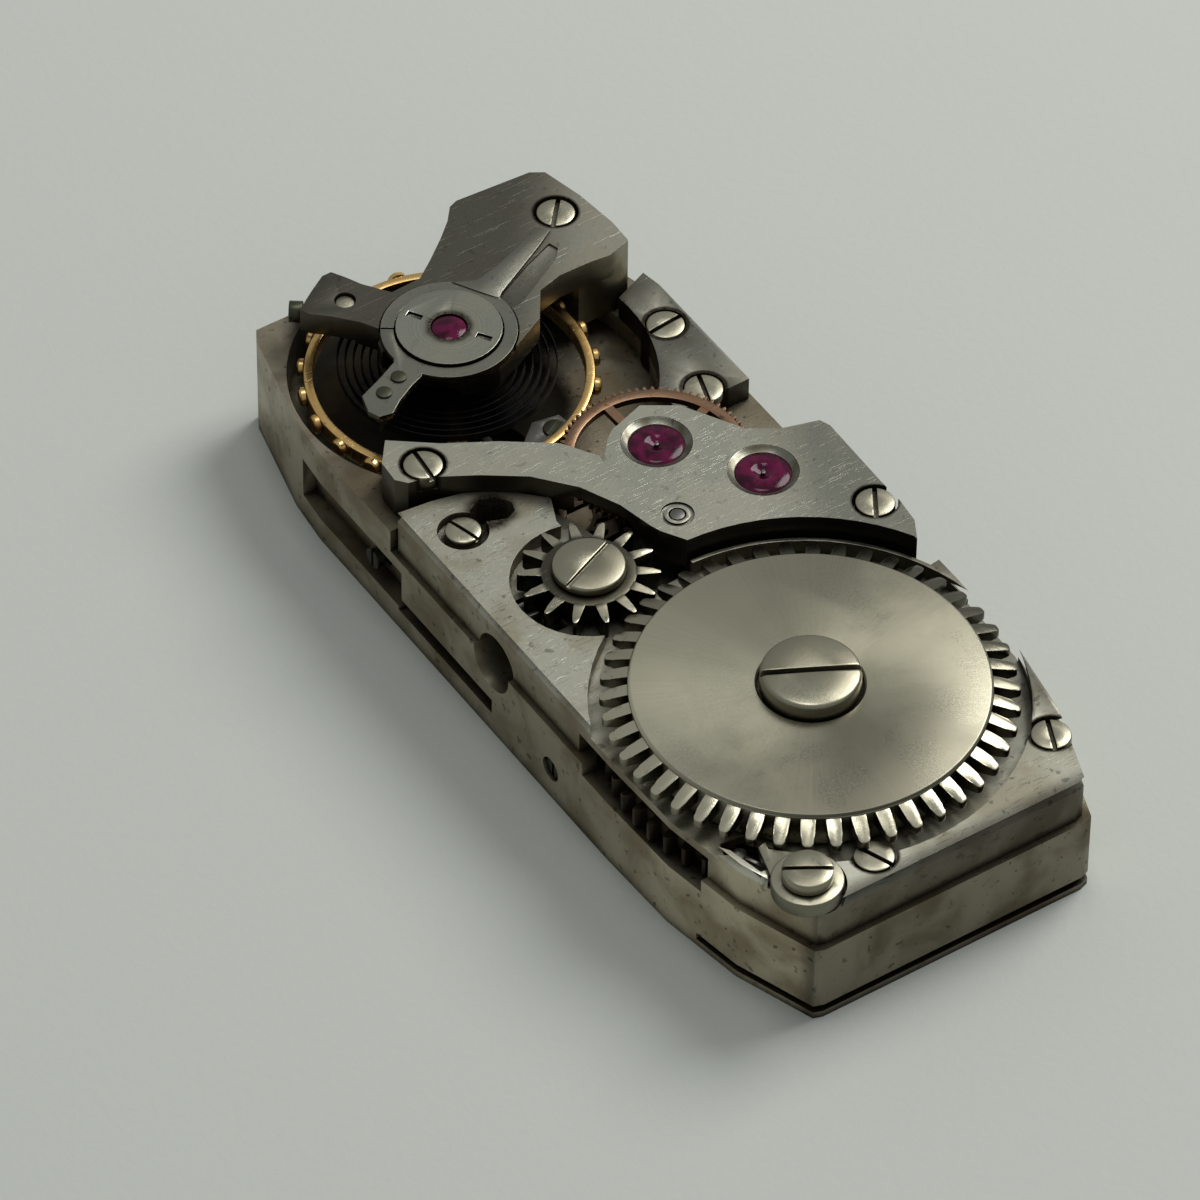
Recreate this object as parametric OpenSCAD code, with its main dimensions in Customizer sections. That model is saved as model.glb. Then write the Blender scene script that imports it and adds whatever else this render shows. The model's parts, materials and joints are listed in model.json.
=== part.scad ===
// Narrow ladies' watch movement, bridge side up.
// X runs across the movement, Y from the winding barrel (-) to the balance (+), Z up to the bridges.

/* [Plate] */
// Half of the width of the main plate
plate_half_w = 4.23; // [4.20:0.01:4.40]
// Half of the length of the main plate
plate_half_l = 9.87; // [9.85:0.01:10.20]
// Height of the face that carries the barrel bridge
seam_z = 1.90; // [1.88:0.01:1.92]
// Height of the low walls round the balance
wall_z = 2.46; // [2.40:0.01:2.52]
// Depth of the dial-side hollow
dial_hollow = 0.55; // [0.50:0.01:0.58]
// Floor of the balance hollow
balance_floor = 1.45; // [1.40:0.01:1.50]
// Radius of the balance hollow
balance_hollow_r = 3.27; // [3.20:0.01:3.30]

/* [Bridges] */
// Top of the barrel bridge
barrel_bridge_top = 2.97; // [2.94:0.01:3.05]
// Floor of the sunk seats of the ratchet and crown wheels
wheel_seat_z = 2.62; // [2.60:0.01:2.64]
// Width of the sloping edge of the barrel bridge
bevel_w = 0.24; // [0.10:0.01:0.28]
// Underside of the train bridge
train_bridge_low = 2.70; // [2.68:0.01:2.72]
// Top of the train bridge
train_bridge_top = 3.43; // [3.40:0.01:3.50]
// Underside of the balance cock's arm
cock_low = 2.97; // [2.95:0.01:3.02]
// Top of the balance cock
cock_top = 3.59; // [3.57:0.01:3.61]

/* [Winding] */
// Radius of the ratchet wheel over its teeth
ratchet_tip_r = 4.08; // [4.00:0.01:4.10]
// Radius of the smooth disc of the ratchet wheel
ratchet_disc_r = 3.54; // [3.40:0.01:3.60]
// Number of ratchet wheel teeth
ratchet_teeth = 46; // [46]
// Radius of the crown wheel over its teeth
crown_tip_r = 1.42; // [1.38:0.01:1.44]
// Number of crown wheel teeth
crown_teeth = 14; // [14]
// Height of the winding stem's axis
stem_z = 1.85; // [1.83:0.01:1.87]
// Play round a turning shaft
play = 0.03; // [0.02:0.005:0.04]

/* [Going train] */
// Number of barrel teeth
barrel_teeth = 54; // [54]
// Number of centre pinion leaves
centre_leaves = 17; // [17]
// Number of centre wheel teeth
centre_teeth = 64; // [64]
// Number of third pinion leaves
third_leaves = 6; // [6]
// Number of third wheel teeth
third_teeth = 45; // [45]
// Number of fourth pinion leaves
fourth_leaves = 10; // [10]
// Number of fourth wheel teeth
fourth_teeth = 75; // [75]
// Number of escape pinion leaves
escape_leaves = 6; // [6]
// Number of escape wheel teeth
escape_teeth = 15; // [15]
// Radius of the escape wheel
escape_r = 1.15; // [1.10:0.01:1.18]

/* [Balance] */
// Outer radius of the balance rim
rim_r = 2.93; // [2.85:0.01:2.95]
// Radial width of the balance rim
rim_w = 0.19; // [0.15:0.01:0.22]
// Radius over the heads of the timing screws
timing_r = 3.08; // [3.02:0.01:3.10]
// Underside of the balance rim
rim_low = 2.12; // [2.10:0.01:2.14]
// Top of the balance rim
rim_top = 2.46; // [2.40:0.01:2.48]
// Radius of the hairspring's outer end, at the stud
hairspring_r = 2.26; // [2.20:0.01:2.28]
// Number of turns of the hairspring
hairspring_turns = 11; // [8:1:12]

/* [Jewels and screws] */
// Radius of the cap plate over the balance
cap_plate_r = 1.075; // [1.00:0.005:1.09]
// Radius of a train jewel
jewel_r = 0.57; // [0.50:0.01:0.60]
// Radius of the sink round a train jewel
sink_r = 0.72; // [0.70:0.01:0.76]
// Radius of a bridge screw's head
screw_head_r = 0.40; // [0.36:0.01:0.42]
// Radius of the sink round a bridge screw
screw_sink_r = 0.46; // [0.44:0.01:0.48]

/* [Hidden] */
$fn = 96;

// Parts near either end keep their distance from that end when the plate's length changes
usual_half_l = 9.87;
function near(p) = [p[0], p[1] + usual_half_l - plate_half_l];
function far(p) = [p[0], p[1] + plate_half_l - usual_half_l];
function near_all(pts) = [for (p = pts) near(p)];
function far_all(pts) = [for (p = pts) far(p)];

// Places of the arbors, seen from above
barrel_c = near([-0.15, -5.10]);
crown_c = [-1.95, -0.07];
centre_c = [0.24, 0.10];
third_c = [2.341, 0.198];
fourth_c = [1.018, 2.003];
escape_c = [-0.91, 2.72];
pallet_c = far([-0.96, 4.10]);
balance_c = far([-0.79, 6.766]);
minute_c = [-0.62, 1.42];
setting_c = polar(minute_c, span(minute_c, centre_c), 196);
click_c = near([-2.92, -9.06]);
detent_c = [-3.29, 2.38];
stud_c = far([-2.07, 8.63]);

// Places of the screws, the height of each head's top and the way its slot points
bridge_screw_list = [
    [-3.19, 3.99, train_bridge_top, 84], [3.70, -1.72, train_bridge_top, 58],
    [-1.45, near([0, -9.16])[1], barrel_bridge_top, -68], [3.22, near([0, -8.39])[1], barrel_bridge_top, 66],
    [2.89, far([0, 8.49])[1], cock_top, 49], [3.60, 5.53, wall_z, 6], [3.22, 3.58, wall_z, 72]];
pallet_screw_list = far_all([[0.30, 4.55], [-2.05, 4.75]]);

// Small helpers
function polar(c, r, a) = [c[0] + r * cos(a), c[1] + r * sin(a)];
function arc(c, r, a0, a1, n) = [for (i = [0:n]) polar(c, r, a0 + (a1 - a0) * i / n)];
function bearing(p, q) = atan2(q[1] - p[1], q[0] - p[0]);
function span(p, q) = norm([q[0] - p[0], q[1] - p[1]]);
function flip(pts) = [for (i = [len(pts) - 1:-1:0]) [-pts[i][0], pts[i][1]]];

// Pitch radius of the first of two wheels that mesh
function pitch(p, q, n1, n2) = span(p, q) * n1 / (n1 + n2);

// Outline of a toothed wheel: each tooth is round-shouldered
function teeth(n, root, tip, share, phase) = [for (i = [0:n - 1]) each
    let (a = phase + i * 360 / n, w = share * 360 / n)
    [polar([0, 0], root, a - w * 0.62), polar([0, 0], root + (tip - root) * 0.60, a - w * 0.48),
     polar([0, 0], tip, a - w * 0.22), polar([0, 0], tip, a + w * 0.22),
     polar([0, 0], root + (tip - root) * 0.60, a + w * 0.48), polar([0, 0], root, a + w * 0.62)]];

module slab(pts, z0, z1) translate([0, 0, z0]) linear_extrude(z1 - z0) polygon(pts);
module rod(c, r, z0, z1) translate([c[0], c[1], z0]) cylinder(h = z1 - z0, r = r);
module tube(c, ro, ri, z0, z1) difference() {
    rod(c, ro, z0, z1);
    rod(c, ri, z0 - 1, z1 + 1);
}
module block(p, q, z0, z1) translate([p[0], p[1], z0]) cube([q[0] - p[0], q[1] - p[1], z1 - z0]);
module bar(p, q, w, z0, z1)
    translate([p[0], p[1], z0]) rotate(bearing(p, q))
    translate([0, -w / 2, 0]) cube([span(p, q), w, z1 - z0]);
module cross_rod(x0, x1, y, z, r) translate([x0, y, z]) rotate([0, 90, 0]) cylinder(h = x1 - x0, r = r);
module toothed(c, n, root, tip, share, phase, z0, z1)
    translate([c[0], c[1], 0]) slab(teeth(n, root, tip, share, phase), z0, z1);

// Crossed-out wheel: teeth on a thin rim, arms and a hub
module crossed_wheel(c, n, pitch_r, phase, z0, z1, rim, hub, arms) {
    m = pitch_r / n;
    difference() {
        toothed(c, n, pitch_r - 2 * m, pitch_r + 1.5 * m, 0.44, phase, z0, z1);
        difference() {
            tube(c, pitch_r - 2 * m - rim, hub, z0 - 1, z1 + 1);
            for (i = [0:arms - 1])
                bar(c, polar(c, pitch_r, i * 360 / arms + 20), rim, z0 - 2, z1 + 2);
        }
        rod(c, hub * 0.4, z0 - 1, z1 + 1);
    }
}
// Pinion leaves with the hole for the arbor
module leaves(c, n, pitch_r, phase, z0, z1) {
    m = pitch_r / n;
    toothed(c, n, pitch_r - 2 * m, pitch_r + 1.2 * m, 0.38, phase, z0, z1);
}
// Arbor made of steps, each a radius and two heights
module arbor(c, steps) for (s = steps) rod(c, s[0], s[1], s[2]);

// Slotted screw: head from seat to top, shank down to tip
module slotted_screw(c, head_r, seat, top, shank_r, tip, slot_a, slot_w, slot_d) difference() {
    union() {
        rod(c, head_r, seat, top);
        rod(c, shank_r, tip, seat + 0.01);
    }
    translate([c[0], c[1], top - slot_d]) rotate(slot_a)
        translate([-head_r * 2, -slot_w / 2, 0]) cube([head_r * 4, slot_w, slot_d * 3]);
}
// Hole and sink for a bridge screw
module screw_hole(s, depth) {
    rod(s, 0.24, s[2] - depth, s[2] + 1);
    rod(s, screw_sink_r, s[2] - 0.34, s[2] + 1);
}

// Outlines
near_taper = [[plate_half_w - 1.21, -plate_half_l], [plate_half_w - 1.01, 0.07 - plate_half_l],
    [plate_half_w - 0.39, 1.77 - plate_half_l], [plate_half_w - 0.07, 3.67 - plate_half_l],
    [plate_half_w, 5.67 - plate_half_l]];
far_taper = [[plate_half_w, plate_half_l - 3.67], [plate_half_w - 0.11, plate_half_l - 2.57],
    [plate_half_w - 0.65, plate_half_l - 0.27], [plate_half_w - 0.81, plate_half_l]];
plate_outline = concat(near_taper, far_taper, flip(far_taper), flip(near_taper));
bridge_step = 0.13;
function inset(pts, d) = [for (p = pts) [p[0] - sign(p[0]) * d, p[1] - sign(p[1]) * d]];
plate_inset = inset(plate_outline, bridge_step);

// Underside of the barrel, just above the centre wheel
drum_low = 1.16;

// Hollow that joins the balance's and takes the train bridge's side
side_hollow_c = far([-0.35, 6.30]);
side_hollow_r = 3.60;

// Main plate
pocket_top = 1.16;
module main_plate() color("#a9a08f") difference() {
    union() {
        slab(plate_outline, 0, seam_z);
        intersection() {
            slab(plate_outline, seam_z - 0.01, wall_z);
            block([-5, 3.58], [-2.35, plate_half_l + 0.2], 1, 3);
        }
    }
    // Hollows for the balance and the escapement
    rod(balance_c, balance_hollow_r, balance_floor, 4);
    intersection() {
        rod(side_hollow_c, side_hollow_r, balance_floor, 4);
        block([-0.8, 2.9], [3.4, plate_half_l - 1.47], 0, 4);
    }
    rod(escape_c, 1.30, 1.20, 4);
    rod(pallet_c, 0.95, 1.20, 4);
    rod(far([-0.85, 5.2]), 0.85, 1.20, 4);
    // Long slots in the far left side
    block([-5, 3.18], [-plate_half_w + 0.38, plate_half_l - 2.90], 0.60, 1.62);
    block([-5, -0.10], [-plate_half_w + 0.30, 3.30], 0.50, 0.87);
    // Train hollow
    rod(centre_c, 2.05, 0.80, 4);
    rod(third_c, 0.34, 0.80, 4);
    rod(fourth_c, 0.34, 0.80, 4);
    // Barrel hollow and the slot that shows the barrel teeth
    rod(barrel_c, 3.68, drum_low - 0.06, 4);
    rod(barrel_c, 4.14, 1.58, 4);
    block(near([-5, -7.1]), near([-3.6, -3.3]), 1.58, 4);
    // Channel of the winding parts
    cross_rod(-5, -1.9, crown_c[1], stem_z, 0.62);
    cross_rod(-3.50, -2.78, crown_c[1], stem_z, 0.96);
    block([-3.80, -1.62], [-1.98, 2.92], -1, pocket_top);
    rod(setting_c, 0.50, -1, 0.72);
    block([-2.72, -0.25], [-2.10, 0.11], 1, stem_z);
    // Dial-side hollows
    rod(centre_c, 1.75, -1, dial_hollow);
    rod(minute_c, 1.35, -1, dial_hollow);
    slab(dial_cover_outline, -1, dial_cover_top);
    // Groove under the near end
    difference() {
        block([-6, -plate_half_l - 1], [6, 2.87 - plate_half_l], 0.16, 0.34);
        slab(inset(plate_outline, 0.16), -1, 2);
    }
    // Screw holes in the sides for the dial feet
    dial_foot_holes();
    // Holes for the arbors and jewels
    rod(barrel_c, 0.45 + play, -1, 2);
    rod(centre_c, 0.34, -1, 2);
    for (c = [third_c, fourth_c, escape_c]) rod(c, 0.30, c == escape_c ? 0.90 : 0.30, 2);
    rod(pallet_c, 0.24, 0.92, 2);
    rod(balance_c, 0.45, 0.62, 2);
    // Holes for the bridge screws
    for (s = bridge_screw_list) rod(s, 0.20, 0.70, 4);
    for (s = pallet_screw_list) rod(s, 0.15, 0.90, 2);
    for (s = dial_cover_screw_list) rod(s, 0.14, -1, 1.1);
    rod(detent_c, 0.19, 0.60, 3);
    rod(click_c, 0.30, 1.30, 3);
}
dial_foot_list = [[-1, 4.36, 1.00], [-1, -2.20, 0.77], [1, plate_half_l - 1.97, 0.95]];
module dial_foot_holes() for (f = dial_foot_list) {
    x = f[0] * (plate_half_w + 0.2);
    translate([x, f[1], f[2]]) rotate([0, -90 * f[0], 0]) cylinder(h = 1.3, r = 0.27);
    rod([f[0] * 3.55, f[1]], 0.30, -1, f[2] + 0.25);
}

// Barrel bridge with the sunk seats of the two winding wheels
barrel_bridge_far = [[-4.10, 3.50], [-3.37, 3.42], [-2.75, 3.28], [-2.05, 2.92], [-1.36, 2.24],
    [-1.12, 1.62], [-0.95, 0.90], [-0.80, 0.10], [-0.86, -0.78]];
module barrel_bridge() color("#b5ad9b") difference() {
    intersection() {
        slab(plate_inset, seam_z, barrel_bridge_top);
        slab(concat([[-5, -plate_half_l - 1], [5, -plate_half_l - 1], near([5, -3.35]), near([4.15, -3.35])],
            arc(barrel_c, 4.38, 23, 99, 16), [for (i = [8:-1:0]) barrel_bridge_far[i]],
            [[-5, barrel_bridge_far[0][1]]]), 1, 4);
    }
    bridge_bevels();
    // Sunk seats of the wheels, open where they reach the sides
    rod(barrel_c, 4.30, wheel_seat_z, 4);
    rod(crown_c, 1.56, wheel_seat_z, 4);
    slab([[-1.60, 1.62], [-1.30, 2.30], [0, 2.4], [0, -1], [-1.6, -1]], wheel_seat_z, 4);
    // Hollow for the barrel and the train under the bridge
    rod(barrel_c, 4.14, 1, 2.40);
    block(near([-5, -7.1]), near([-3.6, -3.0]), 1, 2.42);
    rod(centre_c, 1.48, 1, 2.30);
    rod(third_c, 1.95, 1, 2.50);
    rod(barrel_c, 0.75 + play, 1, 3);
    // Channel of the winding parts
    cross_rod(-5, -1.9, crown_c[1], stem_z, 0.62);
    cross_rod(-3.50, -2.78, crown_c[1], stem_z, 0.96);
    // Click and its spring
    rod(click_c, 0.76, 2.72, 4);
    slab(near_all([[-3.56, -7.06], [-3.02, -7.11], [-2.76, -7.74], [-3.19, -8.38], [-3.50, -8.34],
        [-3.70, -7.44]]), 2.30, 4);
    slab(near_all([[-2.95, -8.3], [-3.0, -7.6], [-2.2, -7.8], [-1.5, -8.3], [-1.72, -8.62],
        [-2.10, -8.66], [-2.35, -9.2]]), 2.72, 4);
    rod(click_c, 0.25, 1, 4);
    // Kidney-shaped slot and the sunk detent screw
    slab([[-2.86, 2.80], [-2.58, 2.94], [-2.25, 2.83], [-2.05, 2.53], [-2.12, 2.31], [-2.36, 2.20],
        [-2.60, 2.29], [-2.88, 2.41], [-2.98, 2.62]], 2.30, 4);
    rod(detent_c, 0.52, 2.74, 4);
    rod(detent_c, 0.19, 1, 4);
    rod(crown_c, 0.27, 2.14, 4);
    for (s = [bridge_screw_list[2], bridge_screw_list[3]]) screw_hole(s, 2);
}
// Sloping edges of the barrel bridge, cut by slanted blocks
module bridge_bevels() {
    edge = [for (p = plate_inset) p];
    runs = [[12, 13], [13, 14], [14, 15], [15, 16], [16, 17], [17, 0], [0, 1], [1, 2], [2, 3], [3, 4]];
    for (r = runs) {
        p = edge[r[0]];
        q = edge[r[1]];
        translate([p[0], p[1], barrel_bridge_top]) rotate(bearing(p, q))
            translate([-0.4, 0, 0]) rotate([45, 0, 0])
            translate([0, -2, -bevel_w / sqrt(2)]) cube([span(p, q) + 0.8, 2 + bevel_w / sqrt(2) * 0, 2]);
    }
}

// Train bridge
train_bridge_outline = concat(
    [[-3.90, 3.92], [-3.86, 4.45], [-3.46, 4.96], [-2.59, 4.29], [-1.57, 3.70], [-0.60, 3.00],
     [-0.14, 2.28], [-0.17, 2.09], [0.22, 2.57], [0.46, 2.76], [1.31, 3.04], [1.98, 2.60],
     [2.20, 2.22], [2.70, 1.36], [3.28, 0.98], [4.07, 0.75], [4.16, 0.52], [4.14, -0.20],
     [4.11, -1.29], [4.12, -1.96], [4.05, -2.57], [3.80, -3.02]],
    arc(barrel_c, 4.50, 29, 88, 12),
    [[-0.30, -0.10], [-0.38, 0.13], [-0.56, 0.92], [-0.95, 1.76], [-1.61, 2.55], [-2.42, 3.12],
     [-3.27, 3.61], [-3.72, 3.70]]);
module train_bridge() color("#b3b0a6") difference() {
    union() {
        slab(train_bridge_outline, train_bridge_low, train_bridge_top);
        // Feet at both ends
        intersection() {
            slab(train_bridge_outline, seam_z, train_bridge_low + 0.01);
            union() {
                block([-4.5, 3.62], [-2.75, 5.2], wall_z, 3);
                block([3.05, -3.3], [4.5, -0.75], 1, 3);
            }
        }
    }
    rod(balance_c, 3.20, 1, 2.60);
    rod(third_c, 1.95, 1, 2.60);
    // Hollow of the fourth wheel, escape pinion and upper third arbor
    rod(fourth_c, 2.05, 1, 3.12);
    rod(escape_c, 0.34, 1, 3.12);
    rod(third_c, 0.30, 1, 2.95);
    // Jewel holes and their sinks
    for (c = [third_c, fourth_c]) {
        rod(c, jewel_r, 1, 4);
        rod(c, sink_r, train_bridge_top - 0.10, 4);
    }
    rod(escape_c, 0.28, 1, 3.28);
    rod(centre_c, 0.15 + play, 1, 4);
    tube(centre_c, 0.34, 0.26, train_bridge_top - 0.05, 4);
    for (s = [bridge_screw_list[0], bridge_screw_list[1]]) screw_hole(s, 2);
}

// Low bridge on the right of the balance
module side_bridge() color("#aaa79e") difference() {
    slab([[2.45, 3.30], [4.13, 3.30], [4.13, 6.55], [4.05, 7.02], [3.20, 6.66], [3.15, 5.9], [2.4, 3.9]],
        seam_z, wall_z);
    rod(side_hollow_c, side_hollow_r, 1, 4);
    for (s = [bridge_screw_list[5], bridge_screw_list[6]]) {
        rod(s, screw_head_r + 0.02, wall_z - 0.22, 4);
        rod(s, 0.24, 1, 4);
    }
}

// Balance cock: foot, arm, ring and the arm that holds the hairspring stud
regulator_r = 1.38;
cock_outline = far_all([[0.90, 9.45], [1.17, 9.78], [1.38, 9.86], [2.37, 9.80], [3.08, 9.76], [3.35, 9.59],
    [3.57, 8.63], [3.68, 7.62], [3.66, 7.00], [3.11, 6.83], [2.66, 6.88], [1.94, 6.89], [1.37, 6.74],
    [0.92, 6.07], [0.21, 5.71], [-0.44, 5.44], [-1.11, 5.51], [-1.64, 5.78], [-2.00, 6.20],
    [-2.25, 6.76], [-2.10, 7.35], [-1.90, 7.49], [-2.16, 7.93], [-2.57, 8.40], [-2.87, 8.67],
    [-2.98, 8.88], [-2.68, 9.09], [-2.47, 9.23], [-2.08, 9.47], [-1.87, 9.47], [-1.71, 9.19],
    [-1.54, 8.84], [-1.16, 8.31], [-0.46, 8.35], [-0.01, 8.68], [0.50, 9.09]]);
module balance_cock() color("#6f6c64") difference() {
    union() {
        slab(cock_outline, cock_low, cock_top);
        intersection() {
            slab(cock_outline, seam_z, cock_low + 0.01);
            block(far([0.9, 6.9]), far([4, 10]), 1, 4);
        }
    }
    rod(balance_c, 3.20, 1, cock_low);
    // Step for the regulator, and the sunk scale beside its pointer
    rod(balance_c, regulator_r + 0.03, cock_top - 0.14, 4);
    slab(far_all([[0.50, 7.00], [0.45, 6.66], [0.82, 6.62], [1.23, 6.83], [2.15, 7.35], [2.34, 7.57],
        [2.27, 7.79], [1.51, 7.48]]), cock_top - 0.05, 4);
    slab(far_all([[-1.0, 5.2], [-3, 4.8], [-3.6, 7.0], [-1.8, 7.6], [-0.79, 6.766]]), cock_top - 0.14, 4);
    slab(far_all([[-1.0, 5.0], [-1.3, 5.9], [-1.9, 6.4], [-1.9, 7.1], [-3.6, 7.0], [-3.2, 5.0]]), 2, 4);
    // Seat of the cap plate and the balance hole jewel
    rod(balance_c, 0.42, 2, 4);
    // Holes of the stud and its screw
    rod(stud_c, 0.22, 2, 4);
    translate([stud_c[0], stud_c[1], 3.22]) rotate(144) rotate([0, 90, 0]) cylinder(h = 2, r = 0.15);
    screw_hole(bridge_screw_list[4], 3);
    // Thinner arm towards the stud
    block(far([-4, 8.0]), far([-1.2, 10]), 2, 3.05);
}

// Pallet bridge on the floor of the balance hollow
module pallet_bridge() color("#8d8a82") difference() {
    union() {
        slab(far_all([[-2.50, 4.45], [-2.30, 5.10], [-1.75, 5.05], [-1.30, 4.50], [-0.60, 4.42],
            [0.0, 4.95], [0.58, 4.85], [0.66, 4.30], [0.10, 4.05], [-0.55, 3.88], [-1.35, 3.88],
            [-2.0, 4.32]]), 1.94, 2.07);
        for (s = pallet_screw_list) rod(s, 0.34, balance_floor, 1.95);
    }
    rod(pallet_c, 0.20, 1, 3);
    for (s = pallet_screw_list) rod(s, 0.15, 1, 3);
}
module pallet_bridge_screws() color("#8c8c90") for (s = pallet_screw_list)
    slotted_screw(s, 0.24, 2.07, 2.105, 0.13, 1.0, 30, 0.07, 0.03);

module bridge_screws() color("#9b978e") for (s = bridge_screw_list) {
    low = s[2] == wall_z ? 0.22 : 0.34;
    slotted_screw(s, screw_head_r, s[2] - low, s[2], 0.19, 0.80, s[3], 0.10, 0.13);
}

// Jewels: dished discs with an oil sink and a hole for the pivot
module hole_jewel(c, r, z0, z1, hole) difference() {
    rod(c, r, z0, z1);
    rod(c, hole, z0 - 1, z1 + 1);
    translate([c[0], c[1], z1 + r * 0.9]) sphere(r = r);
}
module train_jewels() color("#7a2350") {
    for (c = [third_c, fourth_c]) hole_jewel(c, jewel_r, train_bridge_top - 0.24, train_bridge_top - 0.03,
        0.045 + play);
    hole_jewel(escape_c, 0.28, 3.14, 3.28, 0.045 + play);
}
module plate_jewels() color("#7a2350") {
    for (c = [third_c, fourth_c]) tube(c, 0.30, 0.045 + play, 0.58, 0.80);
    tube(escape_c, 0.30, 0.045 + play, 0.95, 1.18);
    tube(pallet_c, 0.24, 0.045 + play, 0.95, 1.15);
    tube(balance_c, 0.45, 0.045 + play, 0.90, 1.18);
    rod(balance_c, 0.45, 0.70, 0.86);
}
module balance_hole_jewel() color("#7a2350") tube(balance_c, 0.42, 0.045 + play, 3.14, 3.38);
module cap_plate() color("#c9c7bf") difference() {
    rod(balance_c, cap_plate_r, cock_top - 0.14, cock_top + 0.10);
    rod(balance_c, 0.37, 2, 4);
    for (a = [122, -56]) translate([balance_c[0], balance_c[1], cock_top + 0.02]) rotate(a)
        translate([0.60, -0.07, 0]) cube([0.32, 0.14, 1]);
}
module cap_jewel() color("#6d2560") intersection() {
    rod(balance_c, 0.37, cock_top - 0.14, 4);
    translate([balance_c[0], balance_c[1], cock_top - 1.0]) sphere(r = 1.12);
}

// Flat spiral made of half rings whose centres alternate
module spiral(c, r_in, r_out, turns, wire, z0, z1, end_a) {
    step = (r_out - r_in) / turns / 2;
    translate([c[0], c[1], z0]) rotate(end_a + 180) for (i = [0:turns * 2 - 1])
        translate([i % 2 == 0 ? 0 : -step, 0, 0]) rotate(i % 2 == 0 ? 0 : 180)
            rotate_extrude(angle = 180) translate([r_in + i * step - wire / 2, 0]) square([wire, z1 - z0]);
}
module hairspring() color("#5d6f8f")
    spiral(balance_c, 0.46, hairspring_r, hairspring_turns, 0.03, 2.64, 2.80, bearing(balance_c, stud_c));
module hairspring_stud() color("#a9a7a0") {
    rod(stud_c, 0.20, 2.86, 3.52);
    translate([stud_c[0], stud_c[1], 2.60]) rotate(bearing(balance_c, stud_c))
        translate([-0.07, -0.05, 0]) cube([0.14, 0.10, 0.30]);
}
module stud_screw() color("#77806f") translate([stud_c[0], stud_c[1], 3.22]) rotate(144) difference() {
    union() {
        translate([0.21, 0, 0]) rotate([0, 90, 0]) cylinder(h = 0.65, r = 0.13);
        translate([0.85, 0, 0]) rotate([0, 90, 0]) cylinder(h = 0.28, r = 0.22);
    }
    translate([1.05, -0.5, -0.04]) cube([0.2, 1, 0.08]);
}

// Regulator: ring round the cap plate, tail with the curb pins and pointer
regulator_tail = far_all([[-1.72, 6.30], [-1.97, 5.93], [-2.27, 5.82], [-2.70, 5.59], [-3.02, 5.36],
    [-3.30, 5.42], [-3.40, 5.66], [-3.27, 6.10], [-2.76, 6.31], [-2.22, 6.57], [-2.08, 6.82],
    [-2.03, 7.19], [-1.91, 7.40], [-1.55, 7.40]]);
curb_pin_list = far_all([[-2.38, 6.15], [-2.86, 5.93]]);
// The pointer lies on top of the cock, so it can swing over it
regulator_pointer = far_all([[-0.02, 7.86], [0.44, 7.62], [1.09, 7.80], [1.59, 7.98], [2.26, 8.28],
    [2.48, 8.06], [1.99, 7.77], [1.55, 7.54], [0.67, 7.07], [0.52, 6.95], [0.30, 7.30]]);
module regulator() color("#b9b6ac") difference() {
    union() {
        rod(balance_c, regulator_r, cock_top - 0.12, cock_top + 0.03);
        slab(regulator_tail, cock_top - 0.12, cock_top + 0.03);
        slab(regulator_pointer, cock_top + 0.01, cock_top + 0.06);
    }
    rod(balance_c, cap_plate_r + play, 2, 5);
    for (p = curb_pin_list) rod(p, 0.12, 2, 5);
    translate([balance_c[0], balance_c[1], 2]) rotate(146) translate([1, -0.02, 0]) cube([0.8, 0.04, 4]);
}
module curb_pins() color("#8f8c84") {
    for (p = curb_pin_list) rod(p, 0.12, cock_top - 0.16, cock_top + 0.04);
    for (p = curb_pin_list) rod(p, 0.16, cock_top + 0.03, cock_top + 0.07);
    rod(curb_pin_list[0], 0.12, cock_top - 0.40, cock_top - 0.15);
    // Boot under the outer pin, with two legs that stand on both sides of the outer coil
    rod(curb_pin_list[1], 0.17, 2.88, cock_top - 0.15);
    for (s = [-0.10, 0.10]) rod(polar(balance_c, curb_coil_r + s, bearing(balance_c, curb_pin_list[1])),
        0.05, 2.66, 2.89);
}
// Radius of the outer coil where the curb pins hold it
curb_coil_r = hairspring_r - 0.04;

// Balance: rim with two arms, timing screws, staff, collet and roller
balance_arm_a = 62;
module balance_wheel() color("#c9a257") difference() {
    union() {
        tube(balance_c, rim_r, rim_r - rim_w, rim_low, rim_top);
        for (s = [0, 180]) bar(balance_c, polar(balance_c, rim_r - rim_w / 2, balance_arm_a + s), 0.42,
            rim_low + 0.06, rim_low + 0.20);
        rod(balance_c, 0.48, rim_low + 0.06, rim_low + 0.20);
    }
    rod(balance_c, 0.20, 1, 3);
    for (a = timing_angles) timing_rod(a, 0.052, rim_r - rim_w - 0.1, rim_r + 0.1);
}
timing_angles = [for (i = [0:9]) each [balance_arm_a + 16 + i * 16, balance_arm_a + 196 + i * 16]];
module timing_rod(a, r, r0, r1) translate([balance_c[0], balance_c[1], (rim_low + rim_top) / 2])
    rotate(a) translate([r0, 0, 0]) rotate([0, 90, 0]) cylinder(h = r1 - r0, r = r);
module timing_screws() color("#d3b064") for (a = timing_angles) {
    timing_rod(a, 0.052, rim_r - rim_w + 0.03, rim_r + 0.01);
    timing_rod(a, 0.115, rim_r, timing_r);
}
module balance_staff() color("#8d9096") arbor(balance_c, [[0.045, 0.88, 1.24], [0.11, 1.22, 1.60],
    [0.14, 1.58, 2.18], [0.20, 2.18, 2.32], [0.28, 2.32, 2.40], [0.15, 2.40, 2.86], [0.09, 2.84, 3.12],
    [0.045, 3.10, 3.44]]);
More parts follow.
